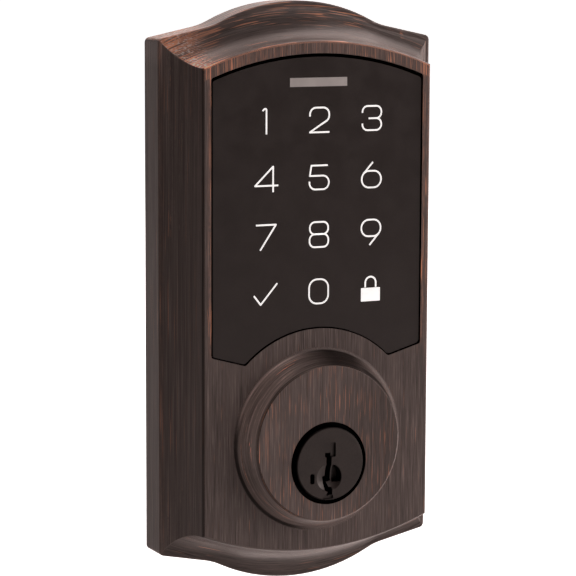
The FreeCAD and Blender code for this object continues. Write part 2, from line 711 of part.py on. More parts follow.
def cable_socket():
    width, deep, tall = SOCKET_SIZE
    body = block(-width / 2, width / 2, SOCKET_UP, SOCKET_UP + tall, BOARD_BACK - deep, BOARD_BACK)
    room = block(-width / 2 + SOCKET_WALL, width / 2 - SOCKET_WALL, SOCKET_UP + SOCKET_WALL,
                 SOCKET_UP + tall - SOCKET_WALL, BOARD_BACK - deep, BOARD_BACK - SOCKET_FLOOR)
    return body.cut(room)


def carrier_frame():
    """Plate under the casing's shelf with a wall that holds the board up against the rim."""
    half = HALF_WIDTH - FLANGE_WALL - CARRIER_FIT
    outer_wall = inset(stack_wire(), CARRIER_WALL_INSET)
    inner_wall = inset(outer_wall, CARRIER_WALL)
    back = SHELF_DEPTH - CARRIER_PLATE
    plate = rounded_block(-half, half, CARRIER_LOW_UP, CARRIER_HIGH_UP, back, SHELF_DEPTH, CARRIER_CORNER_R)
    frame = plate.fuse(prism(outer_wall, back, BOARD_BACK))
    frame = frame.cut(prism(inner_wall, back, BOARD_BACK))
    boss_back = BOARD_BACK - SCREW_LENGTH
    bosses = [disc(BACK_BOSS_R, boss_back, BOARD_BACK, x, z) for x, z in board_screw_places()]
    frame = frame.multiFuse(bosses).removeSplitter()
    holes = [disc(SCREW_R, boss_back, BOARD_BACK, x, z) for x, z in board_screw_places()]
    holes += [disc(SCREW_R + SCREW_HOLE_FIT, back, SHELF_DEPTH, x, z) for x, z in carrier_screw_places()]
    return frame.cut(fuse(holes))


def carrier_screws():
    return Part.makeCompound([placed(small_screw(), x, z, SHELF_DEPTH - CARRIER_PLATE)
                              for x, z in carrier_screw_places()])


# --- Rear of the casing ---
def outlet_block(grow, near, far):
    half_x, half_z = OUTLET_WIDTH / 2 + grow, OUTLET_HEIGHT / 2 + grow
    low, high = OUTLET_UP - half_z, OUTLET_UP + half_z
    return rounded_block(-half_x, half_x, low, high, near, far, OUTLET_CORNER_R + grow)


def back_plate():
    plate = prism(inset(flange_wire(), FLANGE_WALL + BACK_PLATE_FIT), GASKET_THICK, BACK_PLATE_FRONT)
    cuts = [disc(NECK_R + NECK_FIT, GASKET_THICK, BACK_PLATE_FRONT)]
    cuts += [disc(POST_R + POST_ROOM, GASKET_THICK, BACK_PLATE_FRONT, side * POST_X) for side in (-1, 1)]
    cuts.append(outlet_block(0, GASKET_THICK, BACK_PLATE_FRONT))
    for x, z in back_screw_places():
        cuts.append(disc(SCREW_R + SCREW_HOLE_FIT, GASKET_THICK, BACK_PLATE_FRONT, x, z))
        cuts.append(disc(SCREW_HEAD_R + SCREW_HEAD_FIT, GASKET_THICK, back_screw_seat(), x, z))
    return plate.cut(fuse(cuts))


def back_screw_seat():
    """The heads lie just below the plate's rear face."""
    return GASKET_THICK + SCREW_HEAD_THICK + BACK_SCREW_SINK


def back_plate_screws():
    return Part.makeCompound([placed(small_screw(), x, z, back_screw_seat())
                              for x, z in back_screw_places()])


def cable_grommet():
    front = BACK_PLATE_FRONT + GROMMET_LIP_THICK
    sleeve = outlet_block(0, GROMMET_DOOR_GAP, front)
    lip = outlet_block(GROMMET_LIP, BACK_PLATE_FRONT, front)
    bore = outlet_block(-GROMMET_WALL, GROMMET_DOOR_GAP, front)
    return sleeve.fuse(lip).removeSplitter().cut(bore)


def door_gasket():
    outer = inset(flange_wire(), GASKET_INSET)
    inner = inset(outer, GASKET_WIDTH)
    return prism(outer, 0, GASKET_THICK).cut(prism(inner, 0, GASKET_THICK))


# --- Key cylinder ---
def head_back():
    return NECK_FRONT - NECK_FIT - HEAD_DEEP


def cylinder_shell():
    front = NECK_FRONT - NECK_FIT
    shell = disc(NECK_R, -CYLINDER_REAR, front)
    ears = rounded_block(-EAR_HALF_LENGTH, EAR_HALF_LENGTH, -EAR_HALF_HEIGHT, EAR_HALF_HEIGHT,
                         EAR_DEPTH, EAR_FRONT, EAR_CORNER_R)
    shell = shell.fuse(ears)
    cuts = [disc(BORE_R, -CYLINDER_REAR, front)]
    cuts.append(disc(PLUG_HEAD_R + HEAD_FIT, head_back() - PLUG_END_PLAY, front))
    cuts.append(block(-BORE_R - SIDEBAR_GROOVE, 0, -SIDEBAR_HALF_HEIGHT, SIDEBAR_HALF_HEIGHT,
                      SIDEBAR_BACK - SIDEBAR_FIT, SIDEBAR_FRONT + SIDEBAR_FIT))
    cuts += [disc(EAR_SCREW_R + SCREW_HOLE_FIT, EAR_DEPTH, EAR_FRONT, x, z) for x, z in ear_screw_places()]
    cuts += [disc(POST_R, EAR_DEPTH, EAR_FRONT, side * POST_X) for side in (-1, 1)]
    cuts += [drill_pin(side) for side in (-1, 1)]
    return shell.cut(fuse(cuts))


def drill_pin(side):
    far = head_back() - DRILL_PIN_SINK
    angle = math.radians(DRILL_PIN_ANGLE)
    ring_r = (BORE_R + NECK_R) / 2
    x, z = side * ring_r * math.cos(angle), ring_r * math.sin(angle)
    return disc(DRILL_PIN_R, far - DRILL_PIN_LENGTH, far, x, z)


def drill_pins():
    return Part.makeCompound([drill_pin(side) for side in (-1, 1)])


def cylinder_screws():
    ear_screw = screw(EAR_SCREW_R, EAR_SCREW_HEAD_R, EAR_SCREW_HEAD_THICK, EAR_SCREW_LENGTH)
    return Part.makeCompound([placed(ear_screw, x, z, EAR_DEPTH) for x, z in ear_screw_places()])


def mounting_posts():
    posts = []
    for side in (-1, 1):
        x = side * POST_X
        post = disc(POST_R, -CYLINDER_REAR, EAR_FRONT, x)
        post = post.fuse(disc(POST_FLANGE_R, EAR_FRONT, EAR_FRONT + POST_FLANGE_THICK, x)).removeSplitter()
        posts.append(post.cut(disc(POST_BORE_R, -CYLINDER_REAR, POST_BORE_LENGTH - CYLINDER_REAR, x)))
    return Part.makeCompound(posts)


def keyway():
    """Crooked slot for the key: narrow above, stepped to the left and back below."""
    return prism(polygon(*KEYWAY_RIGHT, *KEYWAY_LEFT), KEYWAY_STOP, PLUG_FRONT)


def face_recesses():
    """Shallow sinkings in the plug's face, round the keyway."""
    left, right, low, high = KEY_RECESS
    cuts = [rounded_block(left, right, low, high, PLUG_FRONT - KEY_RECESS_DEEP, PLUG_FRONT, KEY_RECESS_R)]
    x, z = DISH_AT
    ball_r = (DISH_R ** 2 + DISH_DEEP ** 2) / (2 * DISH_DEEP)
    ball = Part.makeSphere(ball_r, Vector(x, DISH_DEEP - ball_r - PLUG_FRONT, z))
    cuts.append(ball.common(block(x - DISH_R, x + DISH_R, z - DISH_HALF_HEIGHT, z + DISH_HALF_HEIGHT,
                                  PLUG_FRONT - DISH_DEEP, PLUG_FRONT + DISH_DEEP)))
    pocket = disc(DISH_R - POCKET_INSET, PLUG_FRONT - POCKET_DEEP, PLUG_FRONT, x, z)
    cuts.append(pocket.common(block(POCKET_LEFT, x + DISH_R, z - POCKET_DROP, z + DISH_HALF_HEIGHT,
                                    PLUG_FRONT - POCKET_DEEP, PLUG_FRONT)))
    left, right, low, high = TOOL_SLOT
    cuts.append(rounded_block(left, right, low, high, PLUG_FRONT - TOOL_SLOT_DEEP, PLUG_FRONT, TOOL_SLOT_R))
    left, right, low, high = FOOT_RECESS
    cuts.append(block(left, right, low, high, PLUG_FRONT - FOOT_RECESS_DEEP, PLUG_FRONT))
    return cuts


def along_plug(left, right, low, high, number):
    """Cross-section at tumbler number's place, as long as a tumbler."""
    middle = tumbler_depth(number)
    return block(left, right, low, high, middle - TUMBLER_LENGTH / 2, middle + TUMBLER_LENGTH / 2)


def roomy(left, right, low, high, number):
    """The same with room for a tumbler to slide."""
    middle, half = tumbler_depth(number), TUMBLER_LENGTH / 2 + TUMBLER_FIT
    return block(left - TUMBLER_FIT, right + TUMBLER_FIT, low, high, middle - half, middle + half)


def tumbler_chamber(number):
    top = TUMBLER_LOW + TUMBLER_HEIGHT + TUMBLER_TRAVEL + TUMBLER_FIT
    foot_top = TUMBLER_LOW + PIN_FOOT_HEIGHT + TUMBLER_TRAVEL + TUMBLER_FIT
    low = TUMBLER_LOW
    wafer_room = roomy(WAFER_SIDES[0], WAFER_SIDES[1], low, top, number)
    pin_room = roomy(PIN_SIDES[0], PIN_SIDES[1], low, CHAMBER_TOP, number)
    foot_room = roomy(PIN_SIDES[1], PIN_FOOT_TIP, low, foot_top, number)
    return wafer_room.multiFuse([pin_room, foot_room]).removeSplitter()


def tumbler_pin(number):
    body = along_plug(PIN_SIDES[0], PIN_SIDES[1], TUMBLER_LOW, TUMBLER_LOW + TUMBLER_HEIGHT, number)
    foot = along_plug(PIN_SIDES[1], PIN_FOOT_TIP, TUMBLER_LOW, TUMBLER_LOW + PIN_FOOT_HEIGHT, number)
    return body.fuse(foot).removeSplitter()


def tumbler_wafer(number):
    """Flat wafer beside the pin, with a notch on its outer edge for the sidebar."""
    body = along_plug(WAFER_SIDES[0], WAFER_SIDES[1], TUMBLER_LOW, TUMBLER_LOW + TUMBLER_HEIGHT, number)
    middle = TUMBLER_LOW + TUMBLER_HEIGHT / 2
    notch = along_plug(WAFER_SIDES[0], WAFER_SIDES[0] + WAFER_NOTCH, middle - SIDEBAR_HALF_HEIGHT / 2,
                       middle + SIDEBAR_HALF_HEIGHT / 2, number)
    return body.cut(notch)


def coil_spring(radius, wire_r, length, turns):
    """Coil along +Z from the origin; length is over its wire."""
    pitch = (length - 2 * wire_r) / turns
    helix = Part.makeHelix(pitch, length - 2 * wire_r, radius)
    along_wire = Vector(0, 1, pitch / (2 * math.pi * radius))
    start = Part.Wire(Part.makeCircle(wire_r, Vector(radius, 0, 0), along_wire))
    coil = Part.Wire(helix.Edges).makePipeShell([start], True, True)
    coil.translate(Vector(0, 0, wire_r))
    return coil


def tumbler_spring(number):
    low = TUMBLER_LOW + TUMBLER_HEIGHT
    spring = coil_spring(SPRING_R, SPRING_WIRE_R, CHAMBER_TOP - low - 2 * SPRING_FIT, SPRING_TURNS)
    spring.translate(Vector(PIN_MIDDLE, -tumbler_depth(number), low + SPRING_FIT))
    return spring


def spring_cover(fit=COVER_FIT):
    """Strip over the chambers, set in a groove in the plug's top."""
    return block(PIN_MIDDLE - COVER_HALF_WIDTH + fit, PIN_MIDDLE + COVER_HALF_WIDTH - fit, CHAMBER_TOP,
                 CHAMBER_TOP + COVER_THICK, SIDEBAR_BACK + fit, SIDEBAR_FRONT - fit)


def sidebar():
    return block(-SIDEBAR_OUTER, -SIDEBAR_INNER, -SIDEBAR_HALF_HEIGHT + SIDEBAR_FIT,
                 SIDEBAR_HALF_HEIGHT - SIDEBAR_FIT, SIDEBAR_BACK + SIDEBAR_FIT, SIDEBAR_FRONT - SIDEBAR_FIT)


def sidebar_spring_depths():
    from_end = SIDEBAR_SPRING_R + 2 * SPRING_FIT
    return [SIDEBAR_BACK + from_end, SIDEBAR_FRONT - from_end]


def sidebar_springs():
    springs = []
    for depth in sidebar_spring_depths():
        spring = coil_spring(SIDEBAR_SPRING_R - SPRING_WIRE_R, SPRING_WIRE_R,
                             SIDEBAR_SPRING_POCKET - SPRING_FIT, SPRING_TURNS)
        spring.rotate(Vector(0, 0, 0), Vector(0, 1, 0), 90)
        spring.translate(Vector(-SIDEBAR_INNER + SPRING_FIT / 2, -depth, 0))
        springs.append(spring)
    return Part.makeCompound(springs)


def clip_depth():
    return -CYLINDER_REAR - PLUG_END_PLAY


def stop_pocket():
    """Bow-tie hollow that lets the blade's lug swing a quarter turn before the plug drives it."""
    back, front = -PLUG_REAR, -PLUG_REAR + HUB_THICK + HUB_FIT + LUG_LENGTH + HUB_FIT
    reach, half = LUG_R + HUB_FIT, LUG_THICK / 2 + HUB_FIT
    sweep = disc(reach, back, front)
    upright = block(-half, half, -reach, reach, back, front)
    level = block(-reach, reach, -half, half, back, front)
    quarters = block(0, reach, 0, reach, back, front).fuse(block(-reach, 0, -reach, 0, back, front))
    return sweep.common(fuse([upright, level, quarters]))


def key_plug():
    plug = disc(PLUG_R, -PLUG_REAR, head_back()).fuse(disc(PLUG_HEAD_R, head_back(), PLUG_FRONT))
    plug = plug.removeSplitter()
    plug = round_edges(plug, PLUG_FRONT, HEAD_EDGE_R, 0.0, PLUG_HEAD_R)
    cuts = [keyway(), stop_pocket()] + face_recesses() + [tumbler_chamber(n) for n in range(TUMBLERS)]
    cuts.append(spring_cover(0.0).fuse(block(-PLUG_R, 0, CHAMBER_TOP + COVER_THICK, PLUG_R,
                                             SIDEBAR_BACK, SIDEBAR_FRONT)))
    cuts.append(block(-PLUG_R, -SIDEBAR_INNER + SIDEBAR_FIT, -SIDEBAR_HALF_HEIGHT, SIDEBAR_HALF_HEIGHT,
                      SIDEBAR_BACK, SIDEBAR_FRONT))
    for depth in sidebar_spring_depths():
        cuts.append(Part.makeCylinder(SIDEBAR_SPRING_R + SPRING_FIT, SIDEBAR_SPRING_POCKET,
                                      Vector(-SIDEBAR_INNER, -depth, 0), Vector(1, 0, 0)))
    cuts.append(ring(PLUG_R + CUT_PAST, PLUG_R - CLIP_GROOVE_DEEP, clip_depth() - CLIP_THICK, clip_depth()))
    cuts.append(ring(PLUG_R + CUT_PAST, CAP_SEAT_R, -PLUG_REAR, -PLUG_REAR + CAP_SKIRT))
    cuts.append(disc(HUB_R + HUB_FIT, -PLUG_REAR, -PLUG_REAR + HUB_THICK + HUB_FIT))
    for cut in cuts:
        plug = plug.cut(cut)
    return plug


def plug_clip():
    outer = PLUG_R + CLIP_PROUD
    clip = ring(outer, PLUG_R - CLIP_GROOVE_DEEP, clip_depth() - CLIP_THICK, clip_depth())
    return clip.cut(block(-CLIP_GAP / 2, CLIP_GAP / 2, -outer, 0, clip_depth() - CLIP_THICK, clip_depth()))


def blade_cap():
    """Cup pressed over the plug's rear end; it keeps the blade's hub in its seat."""
    cap = disc(PLUG_R - CAP_SINK, -PLUG_REAR - CAP_THICK, -PLUG_REAR + CAP_SKIRT)
    cap = cap.cut(disc(CAP_SEAT_R, -PLUG_REAR, -PLUG_REAR + CAP_SKIRT))
    hole = math.hypot(BLADE_WIDTH, BLADE_THICK) / 2 + BLADE_HOLE_FIT
    return cap.cut(disc(hole, -PLUG_REAR - CAP_THICK, -PLUG_REAR))


def torque_blade():
    hub = disc(HUB_R, -PLUG_REAR + HUB_FIT / 2, -PLUG_REAR + HUB_FIT / 2 + HUB_THICK)
    front = -PLUG_REAR + HUB_FIT / 2 + HUB_THICK
    lug = disc(LUG_R, front, front + LUG_LENGTH).common(
        block(-LUG_THICK / 2, LUG_THICK / 2, -LUG_R, LUG_R, front, front + LUG_LENGTH))
    half_x, half_z = BLADE_THICK / 2, BLADE_WIDTH / 2
    blade = block(-half_x, half_x, -half_z, half_z, -BLADE_TIP, -PLUG_REAR + HUB_FIT)
    tip = [e for e in blade.Edges if e.BoundBox.YMin > BLADE_TIP - SAME]
    blade = blade.makeChamfer(BLADE_TIP_CHAMFER, tip)
    return hub.multiFuse([lug, blade]).removeSplitter()


def all_parts():
    parts = {
        "escutcheon_housing": escutcheon_housing(),
        "touch_panel": touch_panel(),
        "panel_adhesive": panel_adhesive(),
        "status_lens": status_lens(),
        "light_guide": light_guide(),
        "keypad_board": keypad_board(),
        "touch_electrodes": touch_electrodes(),
        "legend_leds": legend_leds(),
        "status_leds": status_leds(),
        "control_chips": control_chips(),
        "cable_socket": cable_socket(),
        "board_screws": board_screws(),
        "carrier_frame": carrier_frame(),
        "carrier_screws": carrier_screws(),
        "back_plate": back_plate(),
        "back_plate_screws": back_plate_screws(),
        "cable_grommet": cable_grommet(),
        "door_gasket": door_gasket(),
        "cylinder_shell": cylinder_shell(),
        "cylinder_screws": cylinder_screws(),
        "mounting_posts": mounting_posts(),
        "drill_pins": drill_pins(),
        "key_plug": key_plug(),
        "spring_cover": spring_cover(),
        "sidebar": sidebar(),
        "sidebar_springs": sidebar_springs(),
        "plug_clip": plug_clip(),
        "blade_cap": blade_cap(),
        "torque_blade": torque_blade(),
    }
    for number in range(TUMBLERS):
        parts["tumbler_pin_%d" % (number + 1)] = tumbler_pin(number)
        parts["tumbler_wafer_%d" % (number + 1)] = tumbler_wafer(number)
        parts["tumbler_spring_%d" % (number + 1)] = tumbler_spring(number)
    return parts


os.makedirs("parts", exist_ok=True)
for name, shape in all_parts().items():
    shape.exportStep("parts/" + name + ".step")
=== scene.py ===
"""Keypad deadbolt, outdoor half: finishes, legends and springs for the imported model, studio and camera.

X is to the right, -Y towards the visitor, Z up. Sizes are in millimetres unless a comment says otherwise, and
MM turns them into the scene's metres. Angles are in degrees.
"""
import json
import math
from types import SimpleNamespace

import bpy
from mathutils import Matrix, Vector


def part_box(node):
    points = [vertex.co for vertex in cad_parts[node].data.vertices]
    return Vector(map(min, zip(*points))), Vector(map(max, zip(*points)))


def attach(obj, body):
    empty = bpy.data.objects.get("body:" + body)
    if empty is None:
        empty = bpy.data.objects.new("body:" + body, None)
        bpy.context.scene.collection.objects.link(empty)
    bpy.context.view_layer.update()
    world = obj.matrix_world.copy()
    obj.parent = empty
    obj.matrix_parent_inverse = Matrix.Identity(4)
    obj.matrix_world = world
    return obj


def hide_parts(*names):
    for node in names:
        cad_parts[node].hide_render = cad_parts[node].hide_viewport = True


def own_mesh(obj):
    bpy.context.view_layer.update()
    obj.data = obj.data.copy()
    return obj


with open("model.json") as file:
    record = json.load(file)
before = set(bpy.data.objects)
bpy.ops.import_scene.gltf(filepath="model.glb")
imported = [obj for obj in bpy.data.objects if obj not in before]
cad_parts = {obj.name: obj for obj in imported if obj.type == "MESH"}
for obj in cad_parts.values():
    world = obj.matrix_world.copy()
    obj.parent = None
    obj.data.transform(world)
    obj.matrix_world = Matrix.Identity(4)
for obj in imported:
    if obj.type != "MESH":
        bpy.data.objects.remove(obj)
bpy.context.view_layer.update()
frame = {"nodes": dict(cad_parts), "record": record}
nodes = frame["nodes"]
MM = 0.001
PER_METRE = 1000.0          # millimetres in a metre

casing_low, casing_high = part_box("escutcheon_housing")
panel_low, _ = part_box("touch_panel")
_, plug_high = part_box("key_plug")

# --- Sizes of the casing. Up is measured from the key cylinder's axis, depth from the door's face ---
SIDE_INSET = 5.5            # flange's edge to the front face's edge, at the sides
CROWN_INSET = 8.2           # the same at the middle of the top and bottom
PANEL_SINK = 0.3            # panel's face below the front face
FLANGE_DEPTH = 8.0
FACE_DEPTH = -panel_low.y / MM + PANEL_SINK
BOSS_DEPTH = -casing_low.y / MM
CENTRE_UP = (casing_low.z + casing_high.z) / 2 / MM
FACE_HALF_WIDTH = casing_high.x / MM - SIDE_INSET
FACE_HALF_HEIGHT = (casing_high.z - casing_low.z) / 2 / MM - CROWN_INSET
FACE_ARC_R = 70.0           # top and bottom edges of the front face
FACE_ARC_CENTRE = FACE_HALF_HEIGHT - FACE_ARC_R
FACE_CORNER = FACE_ARC_CENTRE + math.sqrt(FACE_ARC_R ** 2 - FACE_HALF_WIDTH ** 2)   # off the casing's middle
MITRE_SLOPE = 1.03          # rise of the mitres between the end coves and the side coves
WINDOW_SIDE = 1.9           # front face's edge to the keypad window, at the sides
WINDOW_TOP = 2.7            # the same at the top
WINDOW_HALF_WIDTH = FACE_HALF_WIDTH - WINDOW_SIDE
WINDOW_ARC_R = FACE_ARC_R - WINDOW_TOP
BOSS_UP = 4.3
BOSS_FACE_R = 16.95
BOSS_FOOT_R = 19.5
PLUG_OPENING_R = 8.8


# --- Camera: from the front left, a little above ---
AZIMUTH, ELEVATION, ROLL = -26.067, 7.823, 0.232
DISTANCE = 551.96
SIDE_OFFSET, UP_OFFSET = 1.46, 0.056
LENS = 155.76
SENSOR = 36.0


def direction_to(azimuth, elevation):
    """Unit vector towards an azimuth, counted from the front, and an elevation."""
    turn, rise = math.radians(azimuth), math.radians(elevation)
    return Vector((math.sin(turn) * math.cos(rise), -math.cos(turn) * math.cos(rise), math.sin(rise)))


def place_camera():
    back = direction_to(AZIMUTH, ELEVATION)
    level = Vector((math.cos(math.radians(AZIMUTH)), math.sin(math.radians(AZIMUTH)), 0))
    upright = back.cross(level)
    roll = math.radians(ROLL)
    right = level * math.cos(roll) + upright * math.sin(roll)
    up = upright * math.cos(roll) - level * math.sin(roll)
    target = Vector((0, casing_high.y, CENTRE_UP * MM))
    place = target + (back * DISTANCE + right * SIDE_OFFSET + up * UP_OFFSET) * MM
    data = bpy.data.cameras.new("camera")
    data.lens = LENS
    data.sensor_width = SENSOR
    data.clip_start = 10 * MM
    camera = bpy.data.objects.new("camera", data)
    bpy.context.scene.collection.objects.link(camera)
    camera.matrix_world = Matrix.Translation(place) @ Matrix((right, up, back)).transposed().to_4x4()
    bpy.context.scene.camera = camera


# --- Shader building ---
class Value:
    """A number, colour or vector that varies over a surface. Arithmetic on a number adds Math nodes."""

    def __init__(self, net, socket):
        self.net = net
        self.socket = socket

    def __add__(self, other):
        return self.net.math("ADD", self, other)

    def __radd__(self, other):
        return self.net.math("ADD", other, self)

    def __sub__(self, other):
        return self.net.math("SUBTRACT", self, other)

    def __rsub__(self, other):
        return self.net.math("SUBTRACT", other, self)

    def __mul__(self, other):
        return self.net.math("MULTIPLY", self, other)

    def __abs__(self):
        return self.net.math("ABSOLUTE", self)

    def at_most(self, other):
        return self.net.math("MINIMUM", self, other)

    def at_least(self, other):
        return self.net.math("MAXIMUM", self, other)

    def fade(self, start, end, first=0.0, last=1.0):
        """Smooth step: first where the value is start, last where it is end. Start may be the larger."""
        if start > end:
            start, end, first, last = end, start, last, first
        inputs = {"Value": self, "From Min": start, "From Max": end, "To Min": first, "To Max": last}
        node = self.net.node("ShaderNodeMapRange", {"interpolation_type": "SMOOTHSTEP"}, inputs)
        return Value(self.net, node.outputs["Result"])

    def near(self, middle, inner, outer):
        """1 within inner of the middle, falling to 0 at outer."""
        return abs(self - middle).fade(outer, inner)


class Net:
    """Short calls for the nodes of one material, group or world."""

    def __init__(self, tree):
        self.tree = tree

    def node(self, kind, settings=None, inputs=None):
        node = self.tree.nodes.new(kind)
        for name, value in (settings or {}).items():
            setattr(node, name, value)
        self.feed_all(node, inputs or {})
        return node

    def feed(self, socket, value):
        """Links a varying value to the socket, or sets the socket to a plain one."""
        if isinstance(value, Value):
            self.tree.links.new(value.socket, socket)
        else:
            socket.default_value = value

    def feed_all(self, node, values):
        for name, value in values.items():
            self.feed(node.inputs[name], value)

    def math(self, operation, *values):
        node = self.node("ShaderNodeMath", {"operation": operation})
        for socket, value in zip(node.inputs, values):
            self.feed(socket, value)
        return Value(self, node.outputs[0])

    def length(self, a, b):
        return self.math("SQRT", a * a + b * b)

    def mix(self, kind, share, first, second):
        node = self.node("ShaderNodeMix", {"data_type": kind}, {"Factor": share, "A": first, "B": second})
        return Value(self, node.outputs["Result"])

    def blend(self, share, first, second):
        return self.mix("RGBA", share, first, second)

    def shaded(self, color, shade):
        """The colour multiplied by the shade."""
        node = self.node("ShaderNodeVectorMath", {"operation": "SCALE"}, {"Scale": shade})
        self.feed(node.inputs[0], color)
        return Value(self, node.outputs[0])

    def coordinates(self):
        """The Object coordinate and the Normal coordinate of a surface."""
        outputs = self.node("ShaderNodeTexCoord").outputs
        return Value(self, outputs["Object"]), Value(self, outputs["Normal"])

    def split(self, vector):
        outputs = self.node("ShaderNodeSeparateXYZ", inputs={"Vector": vector}).outputs
        return [Value(self, outputs[axis]) for axis in "XYZ"]

    def vector(self, x, y, z):
        node = self.node("ShaderNodeCombineXYZ", inputs={"X": x, "Y": y, "Z": z})
        return Value(self, node.outputs[0])

    def scaled(self, vector, scale):
        node = self.node("ShaderNodeMapping", inputs={"Vector": vector, "Scale": scale})
        return Value(self, node.outputs[0])

    def noise(self, vector, scale=1.0, detail=2.0, roughness=0.5):
        inputs = {"Vector": vector, "Scale": scale, "Detail": detail, "Roughness": roughness}
        node = self.node("ShaderNodeTexNoise", inputs=inputs)
        return Value(self, node.outputs["Fac"])

    def bump(self, height, strength, distance):
        inputs = {"Height": height, "Strength": strength, "Distance": distance}
        node = self.node("ShaderNodeBump", inputs=inputs)
        return Value(self, node.outputs["Normal"])

    def seen_by_camera(self):
        """1 for the camera's own rays and 0 for the light that reaches other surfaces."""
        return Value(self, self.node("ShaderNodeLightPath").outputs["Is Camera Ray"])

    def group(self, tree, inputs):
        node = self.node("ShaderNodeGroup", {"node_tree": tree}, inputs)
        return {socket.name: Value(self, socket) for socket in node.outputs}


def rgb(*values):
    return (*values, 1.0)


def new_material(name):
    material = bpy.data.materials.new(name)
    material.use_nodes = True
    return material, Net(material.node_tree), material.node_tree.nodes["Principled BSDF"]


def new_group(name, inputs, outputs):
    """A shader node group whose Vector socket is a vector and whose other sockets are numbers."""
    tree = bpy.data.node_groups.new(name, "ShaderNodeTree")
    for in_out, labels in (("INPUT", inputs), ("OUTPUT", outputs)):
        for label in labels:
            kind = "NodeSocketVector" if label == "Vector" else "NodeSocketFloat"
            tree.interface.new_socket(label, in_out=in_out, socket_type=kind)
    net = Net(tree)
    source = net.node("NodeGroupInput")
    given = {label: Value(net, source.outputs[label]) for label in inputs}
    return tree, net, given, net.node("NodeGroupOutput")


# --- Brush lines and grain, which several finishes share ---
# Pairs give the noise where a mark starts and where it is full.
LIGHT_LINES, LIGHT_LINE_TONE = (0.52, 0.68), 0.62
DARK_LINES, DARK_LINE_TONE = (0.46, 0.30), 0.34
BROAD_BANDS, BROAD_BAND_TONE = (0.35, 0.65), 0.13
LINE_RELIEF = (0.3, 0.7)
PLAIN_TONE = 0.27           # between the lines
BROAD_STRETCH = (0.15, 0.15, 0.4)
SCRATCH_STRETCH = (1.35, 1.35, 1.2)
SCRATCH_BAR = 0.80          # noise above which the metal is scratched bare
SCRATCH_BAR_DROP = 0.22     # how far a full share of scratches lowers the bar
SCRATCH_EDGE = 18.0         # how sharply a scratch ends
GRAIN_MARKS = (0.25, 0.75)
MOTTLE_MARKS = (0.3, 0.7)
MOTTLE_SCALE = 0.06         # of the grain's scale, so mottling is coarser


def make_brushing():
    """Brush lines along a stretched coordinate: their tone, their relief and bare scratches."""
    tree, net, given, out = new_group("brushing", ["Vector", "Scratches"], ["Tone", "Relief", "Scratch"])
    fine = net.noise(given["Vector"], detail=3.0, roughness=0.7)
    broad = net.noise(net.scaled(given["Vector"], BROAD_STRETCH))
    raw = net.noise(net.scaled(given["Vector"], SCRATCH_STRETCH), detail=1.0, roughness=0.4)
    lines = fine.fade(*LIGHT_LINES) * LIGHT_LINE_TONE - fine.fade(*DARK_LINES) * DARK_LINE_TONE
    tone = PLAIN_TONE + lines + broad.fade(*BROAD_BANDS) * BROAD_BAND_TONE
    scratch = (raw - (SCRATCH_BAR - given["Scratches"] * SCRATCH_BAR_DROP)) * SCRATCH_EDGE
    net.feed_all(out, {
        "Tone": tone.at_most(1.0).at_least(0.0),
        "Relief": fine.fade(*LINE_RELIEF),
        "Scratch": scratch.at_most(1.0).at_least(0.0),
    })
    return tree


def make_grain():
    """Fine grain and slow mottling for moulded, cast and plated surfaces."""
    tree, net, given, out = new_group("grain", ["Vector", "Size"], ["Grain", "Mottle"])
    per_metre = net.math("DIVIDE", 1.0, given["Size"])
    grain_noise = net.noise(given["Vector"], per_metre, detail=3.0)
    mottle_noise = net.noise(given["Vector"], per_metre * MOTTLE_SCALE)
    net.feed_all(out, {"Grain": grain_noise.fade(*GRAIN_MARKS), "Mottle": mottle_noise.fade(*MOTTLE_MARKS)})
    return tree


brushing = make_brushing()
grain = make_grain()

# --- Aged bronze of the casing: dark brown skin, brushed, worn to copper in the lines and along the edges, with painted light and shade by region ---
BRONZE_DARK = rgb(0.051, 0.0400, 0.0368)
BRONZE_LIGHT = rgb(0.298, 0.239, 0.221)
COPPER = rgb(0.93, 0.42, 0.25)
GLINT = rgb(0.78, 0.70, 0.66)
# Painted shade for the key cylinder's front, seen down in the gap round the plug.
GAP_SHADE_BLACK = rgb(0.004, 0.004, 0.004)
BRONZE_ROUGHNESS = 0.48
LINES_SMOOTHER = 0.16       # in the lightest brush lines
COVES_SMOOTHER = 0.11       # on the end coves
USUAL_SPECULAR, MOST_SPECULAR = 0.5, 0.8
BRUSH_RELIEF, BRUSH_HEIGHT = 0.22, 0.06             # strength of the bump, and height of the lines
BOSS_LIGHTER = 0.12         # share of light bronze laid over the boss's flat front

# Patterns on the bronze: scale per metre, and the noise where a mark starts and where it is full.
PATCHES = ((140.0, 140.0, 60.0), 0.35, 0.65)
SPECKLE = ((1900.0, 1900.0, 1100.0), 0.42, 0.6)
SPARKLE = ((1200.0, 1500.0, 3600.0), 0.56, 0.62)
PLAIN_COPPER, PATCH_COPPER = 0.50, 0.50             # shares of the scratches' copper
PLAIN_GLOW, SPECKLE_GLOW, LINE_GLOW = 0.25, 0.65, 0.45      # shares of the copper between them
GLINT_SHARE = 0.75

# Brush lines: how close they lie across, and how short they are along, per millimetre.
UPRIGHT_ACROSS, UPRIGHT_ALONG = 5.5, 0.10
CLOSER_BEHIND, LONGER_BEHIND = 3.0, 0.06            # added and taken off behind the front face
ARC_ACROSS, ARC_ALONG = 2.3, 0.10
ROUND_ACROSS, ROUND_DEEP = 6.0, 2.4
ROUND_ALONG = 1.5                                   # per radian

# Fades: 0 at the first number of a pair and 1 at the second. These are heights.
TOP_END = (60.0, 70.0)
UPPER_HALF = (40.0, 60.0)
BOTTOM_END = (20.0, 0.0)
WINDOW_LOW_EDGE = (15.0, 16.0)
WINDOW_SIDES = (22.0, 26.0)
RISING_TO_TOP = (0.0, 60.0)
NEARING_TOP = (CENTRE_UP + 20.0, CENTRE_UP + 42.0)
MITRE_HEIGHT = (78.0, 86.0)
FLANGE_TOP_HEIGHT = (84.0, 88.0)

